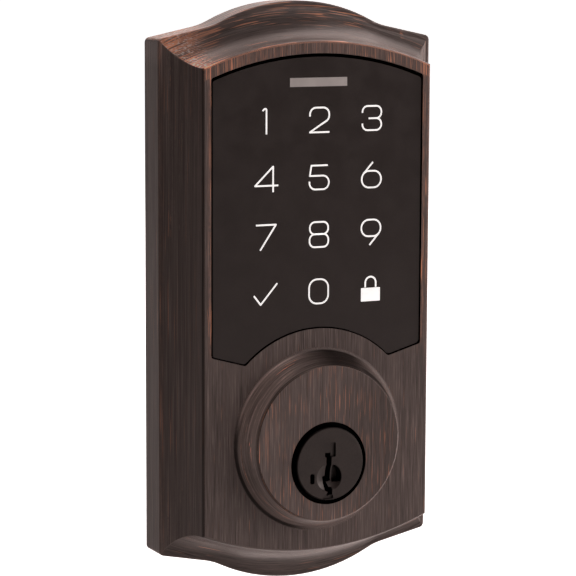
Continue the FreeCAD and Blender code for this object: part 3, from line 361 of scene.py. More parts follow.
# Fades across, to the right of the middle. The window's are to both sides.
UPPER_LEFT_CORNER = (-20.0, -FACE_HALF_WIDTH)
LEFT_MITRE = (-16.0, -FACE_HALF_WIDTH)
LEFT_GLINT = (-21.0, -FACE_HALF_WIDTH)
FLANGE_LEFT = (-FACE_HALF_WIDTH - 4.0, -FACE_HALF_WIDTH - 4.8)
BOSS_LEFT = (-2.0, -9.0)
BOSS_RIGHT = (0.0, 12.0)
CLEAR_OF_RIGHT = (24.0, 10.0)
FACE_RIGHT_RIM = (FACE_HALF_WIDTH - 1.3, FACE_HALF_WIDTH - 0.3)
WINDOW_EDGE = (WINDOW_HALF_WIDTH + 1.2, WINDOW_HALF_WIDTH + 0.1)
OUTSIDE_WINDOW = (WINDOW_HALF_WIDTH - 0.2, WINDOW_HALF_WIDTH)

# Fades over depth.
BEHIND_FACE = (FACE_DEPTH + 0.02, FACE_DEPTH - 0.08)
WINDOW_WALL = (FACE_DEPTH, FACE_DEPTH - 0.12)
FACE_EDGE = (FACE_DEPTH - 0.8, FACE_DEPTH - 0.5)
BEZEL_FRONT = (FACE_DEPTH - 0.6, FACE_DEPTH - 0.3)
TOP_RIM_FRONT = (FACE_DEPTH - 0.5, FACE_DEPTH - 0.3)
CONE_FOOT = (FACE_DEPTH + 0.03, FACE_DEPTH + 0.25)
CREASE_FOOT = (FACE_DEPTH + 1.6, FACE_DEPTH + 0.9)
CONE_HEAD = (BOSS_DEPTH - 0.02, BOSS_DEPTH - 0.12)
BOSS_FRONT = (BOSS_DEPTH - 0.3, BOSS_DEPTH - 0.1)
BOSS_EDGE = (BOSS_DEPTH - 1.1, BOSS_DEPTH - 0.5)
BEFORE_FLANGE = (FLANGE_DEPTH, FLANGE_DEPTH + 0.4)
ON_FLANGE = (FLANGE_DEPTH, FLANGE_DEPTH - 0.3)

# Fades over other distances: past the mitre, past the face's arc, beside the face, and from two axes.
PAST_MITRE = (-0.05, 0.05)
TOP_BEZEL = (-3.0, -2.4)
FACE_TO_FLANGE = (0.4, 3.0)
COVE_WORN = (1.5, 5.0)
FLANGE_SIDE = (SIDE_INSET - 0.3, SIDE_INSET - 0.1)
BOSS_FACE_OUT = (BOSS_FACE_R + 1.5, BOSS_FACE_R + 0.9)
OPENING_EDGE = (PLUG_OPENING_R + 0.24, PLUG_OPENING_R + 0.12)
PAST_WINDOW = (0.03, 0.0)
FACING_FRONT = (0.80, 0.97)     # how squarely a surface faces the front, from 0 to 1
WINDOW_SLACK = 0.02             # the window counts as this much wider at its sides and lower at its top
FACE_ARC_SLACK = 0.25           # the end coves may start this much inside the face's arc
FACE_ARC_WEIGHT = 3.0           # they fade in this many times faster past the arc than past the mitre

# Bands: the middle, how far the full mask reaches either way, and where it ends.
# The crease, boss rim and face rim bands carry painted shade, the cove's hollow band eases it, the flange and
# top rim bands carry wear.
CREASE_BAND = (BOSS_FOOT_R + 0.1, 0.15, 0.55)
BOSS_RIM_BAND = (BOSS_FACE_R, 0.12, 0.3)
FACE_RIM_BAND = (-FACE_HALF_WIDTH, 0.25, 0.5)
TOP_RIM_BAND = (-0.25, 0.1, 0.35)
COVE_HOLLOW_BAND = (2.2, 0.5, 1.8)
FLANGE_BAND = (FLANGE_DEPTH - 0.2, 0.1, 0.6)
# Arcs of painted shade (top, right, crease at the foot) and of painted light (upper left) round the boss.
DARK_TOP_ARC = (6, 16, 42)      # arcs round the boss, clockwise from its top
DARK_RIGHT_ARC = (48, 14, 34)
LIGHT_LEFT_ARC = (-52, 18, 62)
CREASE_ARC = (-122, 35, 62)

# Painted light and shade on the casing, as a multiplier of its colour, where 1 is the flat face's.
CONE_PAINTED_TONE, CONE_PAINTED_SHADE, CONE_PAINTED_LIGHT = 1.25, 1.05, 2.2      # plain, taken off where dark, added where light
COVE_BY_FACE_LIGHTER, COVE_BY_FLANGE_LIGHTER = 0.6, -0.26   # added on the top cove
CORNER_LIGHTER = 0.6
FLANGE_TOP_LIGHTER = 0.35
COVE_HOLLOW_SHARE = 0.9     # how much of the bottom cove's darkness its hollow loses
# How much painted shade each shaded place takes off the tone.
PAINTED_SHADE = {
    "crease": 0.85, "boss_rim": 0.65, "face_rim": 0.6, "opening": 1.0, "window": 1.0, "flange_side": 0.15,
    "bottom_cove": 0.26, "boss_right": 0.22,
}

# Worn places: how much more copper shows in their scratches, and how much between the scratches.
PLAIN_SCRATCHES = 0.42
SCRATCHES = {
    "window_side": 0.7, "right_rim": 0.5, "top_bezel": 0.5, "mitre": 0.9, "upper_cove": 0.55,
    "flange": 0.10, "boss_flat": 0.31, "top_rim": 0.7,
}
GLOW = {
    "window_side": 0.13, "right_rim": 0.12, "top_bezel": 0.06, "mitre": 0.13, "upper_cove": 0.0,
    "flange": 0.04, "boss_flat": 0.0, "top_rim": 0.12,
}


def casing_places(net):
    """Where a point of the casing lies: its distances in millimetres, and masks for the casing's regions."""
    spot, normal = net.coordinates()
    spot_x, spot_y, spot_z = net.split(spot)
    facing = net.split(normal)[1] * -1.0
    x, depth, up = spot_x * PER_METRE, spot_y * -PER_METRE, spot_z * PER_METRE
    across = abs(x)
    off_middle = abs(up - CENTRE_UP)
    from_arc_centre = net.length(x, off_middle - FACE_ARC_CENTRE)
    above_face = from_arc_centre - FACE_ARC_R
    beside_face = across - FACE_HALF_WIDTH
    past_mitre = (off_middle - FACE_CORNER) - beside_face.at_least(0.0) * MITRE_SLOPE
    end_region = past_mitre.at_most((above_face + FACE_ARC_SLACK) * FACE_ARC_WEIGHT).fade(*PAST_MITRE)
    behind_face = depth.fade(*BEHIND_FACE)
    beside_window = across - (WINDOW_HALF_WIDTH + WINDOW_SLACK)
    past_window = beside_window.at_least(from_arc_centre - (WINDOW_ARC_R - WINDOW_SLACK))
    above_boss = up - BOSS_UP
    return SimpleNamespace(
        spot=spot,
        x=x,
        depth=depth,
        up=up,
        across=across,
        above_face=above_face,
        beside_face=beside_face,
        behind_face=behind_face,
        boss=net.length(x, above_boss),
        turn=net.math("ARCTAN2", x, above_boss),
        plug=net.length(x, up),
        front=facing.fade(*FACING_FRONT),
        end_cove=end_region * behind_face,
        in_window=past_window.fade(*PAST_WINDOW) * up.fade(*WINDOW_LOW_EDGE),
        cone=depth.fade(*CONE_FOOT) * depth.fade(*CONE_HEAD),
        boss_flat=depth.fade(*BOSS_FRONT),
    )


def brush_vector(net, at):
    """Brush lines run upright, but follow the arcs at the top and bottom and go round the boss."""
    along = UPRIGHT_ALONG - at.behind_face * LONGER_BEHIND
    across = UPRIGHT_ACROSS + at.behind_face * CLOSER_BEHIND
    upright = net.vector(at.x * across, at.depth * across, at.up * along)
    on_arc = net.vector((at.above_face - at.depth) * ARC_ACROSS, 0.0, at.x * ARC_ALONG)
    round_boss = net.vector(at.boss * ROUND_ACROSS, at.depth * ROUND_DEEP, at.turn * ROUND_ALONG)
    return net.mix("VECTOR", at.cone, net.mix("VECTOR", at.end_cove, upright, on_arc), round_boss)


def on_boss_arc(at, arc):
    middle, inner, outer = (math.radians(angle) for angle in arc)
    return at.turn.near(middle, inner, outer)


def cone_painted_light(at):
    """Painted light and shade on the cone round the boss: shaded at the top and upper right, lit at the upper
    left.
    """
    dark_right = on_boss_arc(at, DARK_RIGHT_ARC) * at.boss.fade(*BOSS_FACE_OUT)
    dark = on_boss_arc(at, DARK_TOP_ARC).at_least(dark_right)
    tone = CONE_PAINTED_TONE - dark * CONE_PAINTED_SHADE + on_boss_arc(at, LIGHT_LEFT_ARC) * CONE_PAINTED_LIGHT
    return 1.0 + at.cone * (tone - 1.0)


def crown_painted_light(at):
    """Painted highlights on the crown: light on the cove by the face, in its left corner and on the flange's
    top, with painted shade on the cove by the flange.
    """
    cove = at.end_cove * at.up.fade(*TOP_END) * at.depth.fade(*BEFORE_FLANGE)
    corner = cove * at.x.fade(*UPPER_LEFT_CORNER)
    flange_top = at.depth.fade(*ON_FLANGE) * at.up.fade(*FLANGE_TOP_HEIGHT)
    slope = at.above_face.fade(*FACE_TO_FLANGE, COVE_BY_FACE_LIGHTER, COVE_BY_FLANGE_LIGHTER)
    return [1.0 + cove * slope, 1.0 + corner * CORNER_LIGHTER, 1.0 + flange_top * FLANGE_TOP_LIGHTER]


def painted_shade_places(at):
    """Painted shade in creases, on rims and walls, in openings, on the sides, the bottom cove and the boss's
    right.
    """
    bottom_cove = at.end_cove * at.up.fade(*BOTTOM_END)
    return {
        "crease": at.boss.near(*CREASE_BAND) * on_boss_arc(at, CREASE_ARC) * at.depth.fade(*CREASE_FOOT),
        "boss_rim": at.boss.near(*BOSS_RIM_BAND) * at.x.fade(*BOSS_LEFT) * at.depth.fade(*BOSS_EDGE),
        "face_rim": at.x.near(*FACE_RIM_BAND) * at.depth.fade(*FACE_EDGE),
        "opening": at.plug.fade(*OPENING_EDGE),
        "window": at.depth.fade(*WINDOW_WALL) * at.in_window,
        "flange_side": at.beside_face.fade(*FLANGE_SIDE),
        "bottom_cove": bottom_cove * (1.0 - at.above_face.near(*COVE_HOLLOW_BAND) * COVE_HOLLOW_SHARE),
        "boss_right": at.boss_flat * at.x.fade(*BOSS_RIGHT),
    }


def painted_light_and_shade(at):
    """Painted light and shade: multiplier for the casing's colour, from the cone, the crown and the shaded
    places.
    """
    tone = cone_painted_light(at)
    for lighter in crown_painted_light(at):
        tone = tone * lighter
    for name, mask in painted_shade_places(at).items():
        tone = tone * (1.0 - mask * PAINTED_SHADE[name])
    return tone


def worn_places(at):
    """How much the skin is worn through at each kind of edge, from 0 to 1."""
    window_side = at.across.fade(*WINDOW_EDGE) * at.up.fade(*WINDOW_SIDES) * at.across.fade(*OUTSIDE_WINDOW)
    upper_cove = at.end_cove * at.above_face.fade(*COVE_WORN) * at.up.fade(*UPPER_HALF)
    bezel = at.front * at.depth.fade(*BEZEL_FRONT)
    return {
        "window_side": window_side * at.front,
        "right_rim": at.x.fade(*FACE_RIGHT_RIM) * at.up.fade(*RISING_TO_TOP) * bezel,
        "top_bezel": at.above_face.fade(*TOP_BEZEL) * at.up.fade(*NEARING_TOP) * bezel,
        "mitre": at.x.fade(*LEFT_MITRE) * at.up.fade(*MITRE_HEIGHT) * at.end_cove,
        "upper_cove": upper_cove * at.x.fade(*CLEAR_OF_RIGHT),
        "flange": at.depth.near(*FLANGE_BAND) * at.x.fade(*FLANGE_LEFT),
        "boss_flat": at.boss_flat,
        "top_rim": at.above_face.near(*TOP_RIM_BAND) * at.up.fade(*TOP_END) * at.depth.fade(*TOP_RIM_FRONT),
    }


def bronze_pattern(net, spot, scale, start, full):
    return net.noise(net.scaled(spot, scale)).fade(start, full)


def bronze_material():
    material, net, bsdf = new_material("aged_bronze")
    at = casing_places(net)
    worn = worn_places(at)
    scratches, glow = PLAIN_SCRATCHES, 0.0
    for name, share in worn.items():
        scratches = scratches + share * SCRATCHES[name]
        glow = glow + share * GLOW[name]
    brush = net.group(brushing, {"Vector": brush_vector(net, at), "Scratches": scratches})
    patches = bronze_pattern(net, at.spot, *PATCHES)
    speckle = bronze_pattern(net, at.spot, *SPECKLE)
    sparkle = bronze_pattern(net, at.spot, *SPARKLE)
    in_scratches = brush["Scratch"] * (PLAIN_COPPER + patches * PATCH_COPPER)
    between = glow * (PLAIN_GLOW + speckle * SPECKLE_GLOW + brush["Tone"] * LINE_GLOW)
    glint = sparkle * at.x.fade(*LEFT_GLINT) * worn["mitre"]
    skin = net.blend(brush["Tone"], BRONZE_DARK, BRONZE_LIGHT)
    skin = net.blend(at.boss_flat * BOSS_LIGHTER, skin, BRONZE_LIGHT)
    worn_skin = net.blend(in_scratches.at_least(between), skin, COPPER)
    # Painted light and shade by region, which scales both the colour and the specular level.
    tone = painted_light_and_shade(at)
    net.feed_all(bsdf, {
        "Base Color": net.shaded(net.blend(glint * GLINT_SHARE, worn_skin, GLINT), tone),
        "Specular IOR Level": (tone * USUAL_SPECULAR).at_most(MOST_SPECULAR),
        "Roughness": BRONZE_ROUGHNESS - brush["Tone"] * LINES_SMOOTHER - at.end_cove * COVES_SMOOTHER,
        "Normal": net.bump(brush["Relief"], BRUSH_RELIEF, BRUSH_HEIGHT * MM),
    })
    return material


# --- Finishes of the other parts ---
DARK_GRAIN, DARK_GRAIN_HEIGHT, DARK_GRAIN_RELIEF = 0.25, 0.02, 0.08
DARK_ROUGHNESS, DARK_MOTTLE_ROUGHER = 0.30, 0.08
GRAIN_IN_TONE, MOTTLE_IN_TONE = 0.6, 0.4
WALL_SHADE = 0.06           # on walls of the panel and the plug, where their fronts have 1
RIM_DARKEST, RIM_PLAIN = 0.1, 0.35      # in from a rim or an edge, where its shade starts and ends to fade
ROUND_RIM_SHADE = 0.2
LEFT_EDGE_SHADE = 0.1
GRAIN_HEIGHT = 0.2          # of the grain's size
GRAIN_ROUGHER, GRAIN_MIDDLE = 0.12, 0.5
LINES_IN_TONE = 0.6         # where a finish is brushed
PLATE_SCRATCHES = 0.2
CYLINDER_SHADE_FROM = 20.0  # painted black shade on the key cylinder in front of this depth, down in the gap round the plug
GAP_SHADE_FADE = 0.5
GAP_SHADE_LESS_SPECULAR = 0.45


def dark_finish_and_shade(name, dark, light, wall, front, rim_r=None, left_edge=None):
    """Black finish with painted shade, which also dims its specular, on the walls and, where given, on a
    round rim or a left edge.

    Wall and front say how squarely a surface faces the front, from 0 to 1, where it is all wall or all front.
    """
    material, net, bsdf = new_material(name)
    spot, normal = net.coordinates()
    x, _, z = net.split(spot)
    marks = net.group(grain, {"Vector": spot, "Size": DARK_GRAIN * MM})
    shade = (net.split(normal)[1] * -1.0).fade(wall, front, WALL_SHADE, 1.0)
    if left_edge:
        edge = x.fade((left_edge + RIM_DARKEST) * MM, (left_edge + RIM_PLAIN) * MM, LEFT_EDGE_SHADE, 1.0)
        shade = shade * edge
    if rim_r:
        from_axis = net.length(x, z)
        rim = from_axis.fade((rim_r - RIM_DARKEST) * MM, (rim_r - RIM_PLAIN) * MM, ROUND_RIM_SHADE, 1.0)
        shade = shade * rim
    tone = marks["Grain"] * GRAIN_IN_TONE + marks["Mottle"] * MOTTLE_IN_TONE
    net.feed_all(bsdf, {
        "Base Color": net.shaded(net.blend(tone, rgb(*dark), rgb(*light)), shade),
        "Specular IOR Level": shade * USUAL_SPECULAR,
        "Roughness": DARK_ROUGHNESS + marks["Mottle"] * DARK_MOTTLE_ROUGHER,
        "Normal": net.bump(marks["Grain"], DARK_GRAIN_RELIEF, DARK_GRAIN_HEIGHT * MM),
    })
    return material


def grained(name, dark, light, size, roughness, bump, metallic=0.0, brushed=None, glow=0.0, shade_from=None):
    """A plain finish with grain and mottling and, where asked, brush lines, its own light or painted black
    shade in front.

    Size is the grain's, brushed is the scale of the brush lines, and in front of the depth given for shade
    all is painted black shade.
    """
    material, net, bsdf = new_material(name)
    spot, _ = net.coordinates()
    marks = net.group(grain, {"Vector": spot, "Size": size * MM})
    tone, height = marks["Mottle"], marks["Grain"]
    if brushed:
        lines = net.group(brushing, {"Vector": net.scaled(spot, brushed), "Scratches": PLATE_SCRATCHES})
        tone = marks["Mottle"] * MOTTLE_IN_TONE + lines["Tone"] * LINES_IN_TONE
        height = lines["Relief"]
    color = net.blend(tone, rgb(*dark), rgb(*light))
    # Painted shade: in front of the given depth the colour turns black and loses its metal and shine.
    if shade_from:
        front = net.split(spot)[1].fade((GAP_SHADE_FADE - shade_from) * MM, -shade_from * MM)
        color = net.blend(front, color, GAP_SHADE_BLACK)
        metallic = (1.0 - front) * metallic
        net.feed(bsdf.inputs["Specular IOR Level"], USUAL_SPECULAR - front * GAP_SHADE_LESS_SPECULAR)
    if glow:
        net.feed_all(bsdf, {"Emission Color": color, "Emission Strength": glow})
    net.feed_all(bsdf, {
        "Base Color": color,
        "Metallic": metallic,
        "Roughness": roughness + (marks["Grain"] - GRAIN_MIDDLE) * GRAIN_ROUGHER,
        "Normal": net.bump(height, bump, size * GRAIN_HEIGHT * MM),
    })
    return material


bronze = bronze_material()
dark_panel = dark_finish_and_shade("dark_panel", (0.028, 0.0215, 0.020), (0.037, 0.029, 0.027), wall=0.6, front=0.97,
                         left_edge=panel_low.x / MM)
plug_black = dark_finish_and_shade("plug_black", (0.030, 0.024, 0.022), (0.052, 0.041, 0.037), wall=0.05, front=0.4,
                         rim_r=plug_high.x / MM)
legend_white = grained("legend_white", (0.80, 0.80, 0.79), (0.90, 0.90, 0.89), size=0.2, roughness=0.45,
                       bump=0.02, glow=0.8)
lens_grey = grained("lens_grey", (0.62, 0.61, 0.60), (0.72, 0.71, 0.70), size=0.3, roughness=0.35, bump=0.05)
zinc_plate = grained("zinc_plate", (0.20, 0.20, 0.19), (0.31, 0.31, 0.29), size=0.6, roughness=0.42,
                     metallic=0.9, bump=0.08, brushed=(2200.0, 2200.0, 60.0))
zinc_cast = grained("zinc_cast", (0.20, 0.20, 0.20), (0.30, 0.30, 0.29), size=0.5, roughness=0.5,
                    metallic=0.7, bump=0.2, shade_from=CYLINDER_SHADE_FROM)
machined_brass = grained("machined_brass", (0.42, 0.28, 0.11), (0.56, 0.39, 0.17), size=0.4, roughness=0.28,
                         metallic=1.0, bump=0.06)
spring_steel = grained("spring_steel", (0.42, 0.42, 0.42), (0.6, 0.6, 0.6), size=0.2, roughness=0.25,
                       metallic=1.0, bump=0.05)
gold = grained("gold", (0.72, 0.48, 0.16), (0.88, 0.64, 0.27), size=0.3, roughness=0.25, metallic=1.0,
               bump=0.03)
black_nylon = grained("black_nylon", (0.012, 0.012, 0.013), (0.028, 0.028, 0.030), size=0.3, roughness=0.55,
                      bump=0.35)
black_rubber = grained("black_rubber", (0.010, 0.010, 0.010), (0.024, 0.023, 0.022), size=0.4, roughness=0.75,
                       bump=0.5)
clear_plastic = grained("clear_plastic", (0.70, 0.72, 0.70), (0.80, 0.81, 0.79), size=0.5, roughness=0.15,
                        bump=0.02)
solder_mask = grained("solder_mask", (0.010, 0.085, 0.035), (0.018, 0.13, 0.055), size=0.5, roughness=0.3,
                      bump=0.05)
chip_epoxy = grained("chip_epoxy", (0.018, 0.018, 0.019), (0.035, 0.035, 0.036), size=0.2, roughness=0.6,
                     bump=0.3)
led_white = grained("led_white", (0.75, 0.74, 0.62), (0.86, 0.85, 0.72), size=0.2, roughness=0.35, bump=0.03)

FINISHES = {
    "bronze": bronze, "panel_black": dark_panel, "status_grey": lens_grey, "clear_plastic": clear_plastic,
    "board_green": solder_mask, "gold_copper": gold, "led_white": led_white, "chip_black": chip_epoxy,
    "black_plastic": black_nylon, "rubber_black": black_rubber, "adhesive": black_rubber,
    "zinc_steel": zinc_plate, "zinc_cast": zinc_cast, "plug_black": plug_black, "brass": machined_brass,
    "spring_steel": spring_steel,
}


def finish_cad_nodes():
    for part in frame["record"]["subparts"]:
        data = nodes[part["node"]].data
        data.materials.clear()
        data.materials.append(FINISHES[part["material_slot"]])


# --- Legends on the panel: monoline numerals, a tick and a padlock ---
STROKE = 0.38               # width of a legend's line
COLUMN_PITCH = 12.6
ROW_PITCH = 12.3
TOP_ROW_UP = 73.45
LEGENDS_RIGHT = 0.25        # middle column, right of the casing's middle
LEGEND_PROUD = 0.05
LEGEND_SMOOTH_ANGLE = 40
CORNER_STEPS = 10
ALMOST_STRAIGHT = math.radians(89)      # half the angle of a corner too flat to round
CORNER_REACH = 0.999        # the most of a stroke's side that a corner's arc takes
PADLOCK_WIDTH, PADLOCK_HEIGHT = 4.65, 2.93
PADLOCK_MIDDLE = -1.38      # middle of the padlock's body, above the legend's
PADLOCK_EDGE_R = 0.12

# Each stroke is (corner radius, closed, points), from the legend's middle.
BOWL_LOW = [(0.0, 0.95), (-2.35, 0.95), (-2.35, -2.65), (2.35, -2.65), (2.35, 0.95)]
STROKES = {
    "1": [(0.3, False, [(-0.85, 2.2), (0.05, 3.05), (0.05, -2.75)])],
    "2": [(1.45, False, [(-2.3, 0.75), (-2.3, 2.6), (2.3, 2.6), (2.3, 0.1), (0.2, -1.1)]),
          (0.02, False, [(0.2, -1.1), (-2.35, -2.65), (2.35, -2.65)])],
    "3": [(1.25, False, [(-2.3, 1.2), (-2.3, 2.65), (2.3, 2.65), (2.3, 0.0), (0.0, 0.0)]),
          (1.25, False, [(-0.8, 0.0), (2.3, 0.0), (2.3, -2.55), (-2.3, -2.55), (-2.3, -1.1)])],
    "4": [(0.02, False, [(2.85, -1.35), (-2.6, -1.35), (1.65, 2.7), (1.65, -2.75)])],
    "5": [(0.02, False, [(2.0, 2.55), (-1.9, 2.55), (-2.25, 0.35), (0.0, 0.35)]),
          (1.45, False, [(0.0, 0.35), (2.3, 0.35), (2.3, -2.58), (-2.35, -2.58), (-2.35, -0.85)])],
    "6": [(1.75, True, BOWL_LOW), (0.02, False, [(-1.95, 0.35), (0.35, 2.85)])],
    "7": [(0.02, False, [(-2.35, 2.6), (2.35, 2.6), (-1.35, -2.8)])],
    "8": [(1.2, True, [(0.0, 0.08), (-2.2, 0.08), (-2.2, 2.7), (2.2, 2.7), (2.2, 0.08)]),
          (1.2, True, [(0.0, 0.08), (-2.25, 0.08), (-2.25, -2.7), (2.25, -2.7), (2.25, 0.08)])],
    "0": [(1.85, True, [(0.0, 2.62), (-2.3, 2.62), (-2.3, -2.62), (2.3, -2.62), (2.3, 2.62)])],
    "tick": [(0.02, False, [(-2.8, -0.15), (-1.2, -2.15), (2.7, 2.3)])],
    "padlock": [(1.28, False, [(-1.28, 0.2), (-1.28, 2.5), (1.28, 2.5), (1.28, 0.2)])],
}
STROKES["9"] = [(radius, closed, [(-x, -z) for x, z in points]) for radius, closed, points in STROKES["6"]]
LEGENDS = [["1", "2", "3"], ["4", "5", "6"], ["7", "8", "9"], ["tick", "0", "padlock"]]


def rounded(points, radius, closed):
    """The points with each corner turned into an arc."""
    points = [Vector(point) for point in points]
    count = len(points)
    path = []
    for i, corner in enumerate(points):
        to_last = points[i - 1] - corner
        to_next = points[(i + 1) % count] - corner
        open_end = not closed and i in (0, count - 1)
        if open_end or to_last.angle(to_next) / 2 > ALMOST_STRAIGHT:
            path.append(corner)
        else:
            path += corner_arc(corner, to_last, to_next, radius)
    return path


def corner_arc(corner, to_last, to_next, radius):
    """Points of the arc that rounds a corner, with a smaller radius where its sides are short."""
    half = to_last.angle(to_next) / 2
    reach = min(radius / math.tan(half), to_last.length * CORNER_REACH, to_next.length * CORNER_REACH)
    arc_r = reach * math.tan(half)
    inward = (to_last.normalized() + to_next.normalized()).normalized()
    centre = corner + inward * (arc_r / math.sin(half))
    start = corner + to_last.normalized() * reach - centre
    turns_left = to_last.x * to_next.y - to_last.y * to_next.x < 0
    turn = (math.pi - 2 * half) * (1 if turns_left else -1)
    turns = [turn * step / CORNER_STEPS for step in range(CORNER_STEPS + 1)]
    return [centre + Matrix.Rotation(angle, 2) @ start for angle in turns]


def legend_curve(name, strokes):
    data = bpy.data.curves.new(name, "CURVE")
    data.dimensions = "3D"
    data.bevel_depth = STROKE / 2
    data.bevel_resolution = 3
    data.use_fill_caps = True
    for radius, closed, points in strokes:
        path = rounded(points, radius, closed)
        spline = data.splines.new("POLY")
        spline.points.add(len(path) - 1)
        for point, spot in zip(spline.points, path):
            point.co = (spot.x, 0, spot.y, 1)
        spline.use_cyclic_u = closed
    piece = bpy.data.objects.new(name, data)
    bpy.context.scene.collection.objects.link(piece)
    return piece


def select_only(*pieces):
    bpy.ops.object.select_all(action="DESELECT")
    for piece in pieces:
        piece.select_set(True)
    bpy.context.view_layer.objects.active = pieces[0]


def settle(piece, material):
    """Puts a piece's place into its mesh and gives it its finish."""
    select_only(piece)
    bpy.ops.object.transform_apply(location=True, rotation=True, scale=True)
    piece.data.materials.clear()
    piece.data.materials.append(material)


def padlock_body():
    bpy.ops.object.select_all(action="DESELECT")
    bpy.ops.mesh.primitive_cube_add(size=1, location=(0, 0, PADLOCK_MIDDLE))
    body = bpy.context.object
    body.scale = (PADLOCK_WIDTH, STROKE, PADLOCK_HEIGHT)
    bpy.ops.object.transform_apply(location=True, rotation=True, scale=True)
    bpy.ops.object.mode_set(mode="EDIT")
    bpy.ops.mesh.select_all(action="SELECT")
    bpy.ops.mesh.bevel(offset=PADLOCK_EDGE_R, segments=3, affect="EDGES")
    bpy.ops.object.mode_set(mode="OBJECT")
    return body


def make_legend(name, x, up):
    """A legend, flattened and sunk to its middle in the panel's face, so that it stands proud a little."""
    piece = legend_curve("legend_" + name, STROKES[name])
    select_only(piece)
    bpy.ops.object.convert(target="MESH")
    piece = bpy.context.object
    if name == "padlock":
        select_only(piece, padlock_body())
        bpy.ops.object.join()
    flat = 2 * LEGEND_PROUD / STROKE
    piece.scale = (MM, MM * flat, MM)
    piece.location = (x * MM, panel_low.y, up * MM)
    settle(piece, legend_white)
    bpy.ops.object.shade_smooth_by_angle(angle=math.radians(LEGEND_SMOOTH_ANGLE))
    piece.name = "legend_" + name
    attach(piece, "casing")


def make_legends():
    for row, names in enumerate(LEGENDS):
        for column, name in enumerate(names):
            make_legend(name, (column - 1) * COLUMN_PITCH + LEGENDS_RIGHT, TOP_ROW_UP - row * ROW_PITCH)


# --- Springs over the tumblers ---
TUMBLERS = 5
SPRING_WIRE_R = 0.1
SPRING_TURNS = 5
WIRE_SIDES = 10
STEPS_PER_TURN = 24
COIL_SMOOTH_ANGLE = 60


def make_tumbler_spring(number):
    """A coil in the CAD spring's own box, carried with the plug in place of the CAD spring, which is hidden.
    """
    node = "tumbler_spring_%d" % number
    low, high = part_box(node)
    height = high.z - low.z
    wire_r = SPRING_WIRE_R * MM
    coil_r = (high.x - low.x) / 2 - wire_r
    bpy.ops.object.select_all(action="DESELECT")
    bpy.ops.mesh.primitive_circle_add(vertices=WIRE_SIDES, radius=wire_r, location=(coil_r, 0, 0),
                                      rotation=(math.pi / 2, 0, 0))
    piece = bpy.context.object
    bpy.ops.object.transform_apply(location=True, rotation=True, scale=True)
    bpy.ops.object.modifier_add(type="SCREW")
    screw = piece.modifiers[-1]
    screw.axis = "Z"
    screw.screw_offset = (height - 2 * wire_r) / SPRING_TURNS
    screw.iterations = SPRING_TURNS
    screw.steps = screw.render_steps = STEPS_PER_TURN
    bpy.ops.object.modifier_apply(modifier=screw.name)
    bpy.ops.object.mode_set(mode="EDIT")
    bpy.ops.mesh.select_all(action="SELECT")
    bpy.ops.mesh.fill_holes(sides=0)
    bpy.ops.mesh.normals_make_consistent(inside=False)
    bpy.ops.object.mode_set(mode="OBJECT")
    piece.location = ((low.x + high.x) / 2, (low.y + high.y) / 2, low.z + wire_r)
    settle(piece, spring_steel)
    bpy.ops.object.shade_smooth_by_angle(angle=math.radians(COIL_SMOOTH_ANGLE))
    piece.name = "coil_%d" % number
    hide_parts(node)
    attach(piece, "plug")
    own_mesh(piece)


# --- Studio: pale floor, brightest behind the lock on the right, and soft boxes round it. Sizes in metres ---
# Each soft box: azimuth from the front, elevation, brightness, width and height.
SOFT_BOXES = {
    "right_low": (75, 8, 3.2, 1.1, 0.45),
    "right_high": (120, 40, 2.4, 0.9, 0.9),
    "rear_high": (165, 45, 1.6, 0.9, 0.9),
    "rear_low": (160, 10, 1.25, 2.0, 0.5),
    "front_high": (0, 75, 0.7, 0.9, 0.9),
    "front_right": (45, 30, 1.5, 0.9, 0.9),
}
BOX_DISTANCE = 1.35
WARM = (1.0, 0.84, 0.80)
WORLD_LIGHT = 0.003
FLOOR_DROP = 0.06
FLOOR_SIZE = 60.0
FLOOR_GREY = 0.82
FLOOR_ROUGHNESS = 0.9
FLOOR_GLOW_FRONT, FLOOR_GLOW_REAR = 0.05, 2.2
FLOOR_GLOW_TOWARDS = 45     # between straight behind the lock and its right
FLOOR_GLOW_SPREAD = (70, 25)
FLOOR_SEEN = 1.1            # the floor's own light as the camera sees it


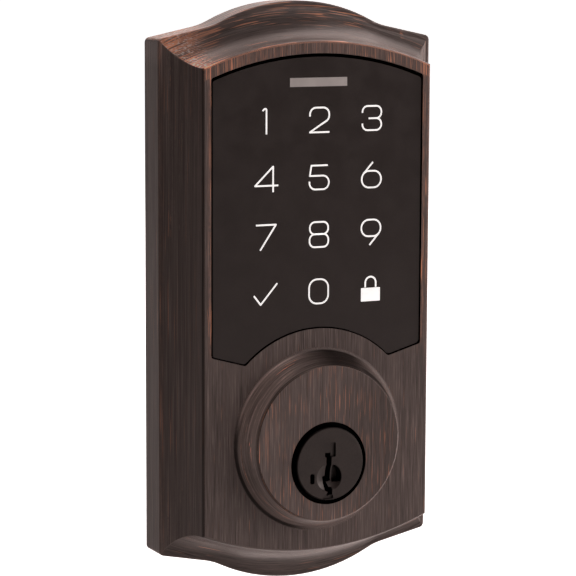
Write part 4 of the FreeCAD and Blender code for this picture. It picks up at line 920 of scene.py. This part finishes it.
def make_floor():
    bpy.ops.object.select_all(action="DESELECT")
    bpy.ops.mesh.primitive_plane_add(size=FLOOR_SIZE, location=(0, 0, casing_low.z - FLOOR_DROP))
    floor = bpy.context.object
    floor.name = "floor"
    material, net, bsdf = new_material("floor")
    spot, _ = net.coordinates()
    x, y, _ = net.split(spot)
    away = abs(net.math("ARCTAN2", x, y) - math.radians(FLOOR_GLOW_TOWARDS))
    dark_from, bright_within = (math.radians(angle) for angle in FLOOR_GLOW_SPREAD)
    glow = away.fade(dark_from, bright_within, FLOOR_GLOW_FRONT, FLOOR_GLOW_REAR)
    seen = net.seen_by_camera()
    net.feed_all(bsdf, {
        "Base Color": rgb(FLOOR_GREY, FLOOR_GREY, FLOOR_GREY),
        "Roughness": FLOOR_ROUGHNESS,
        "Emission Color": net.blend(seen, rgb(*WARM), rgb(1, 1, 1)),
        "Emission Strength": glow * (1.0 - seen) + seen * FLOOR_SEEN,
    })
    floor.data.materials.append(material)


def light_world():
    world = bpy.data.worlds.new("studio")
    bpy.context.scene.world = world
    world.use_nodes = True
    net = Net(world.node_tree)
    background = world.node_tree.nodes["Background"]
    net.feed_all(background, {"Color": rgb(1, 1, 1), "Strength": net.seen_by_camera().at_least(WORLD_LIGHT)})


def add_soft_box(name, azimuth, elevation, brightness, width, height):
    direction = direction_to(azimuth, elevation)
    data = bpy.data.lights.new(name, "AREA")
    data.shape = "RECTANGLE"
    data.size, data.size_y = width, height
    data.energy = brightness * math.pi * width * height
    data.color = WARM
    lamp = bpy.data.objects.new(name, data)
    bpy.context.scene.collection.objects.link(lamp)
    lamp.location = Vector((0, 0, CENTRE_UP * MM)) + direction * BOX_DISTANCE
    lamp.rotation_euler = direction.to_track_quat("Z", "Y").to_euler()
    lamp.visible_camera = False


place_camera()
bpy.context.scene.view_settings.view_transform = "Standard"
make_floor()
light_world()
for box, settings in SOFT_BOXES.items():
    add_soft_box(box, *settings)
finish_cad_nodes()
make_legends()
for tumbler in range(1, TUMBLERS + 1):
    make_tumbler_spring(tumbler)
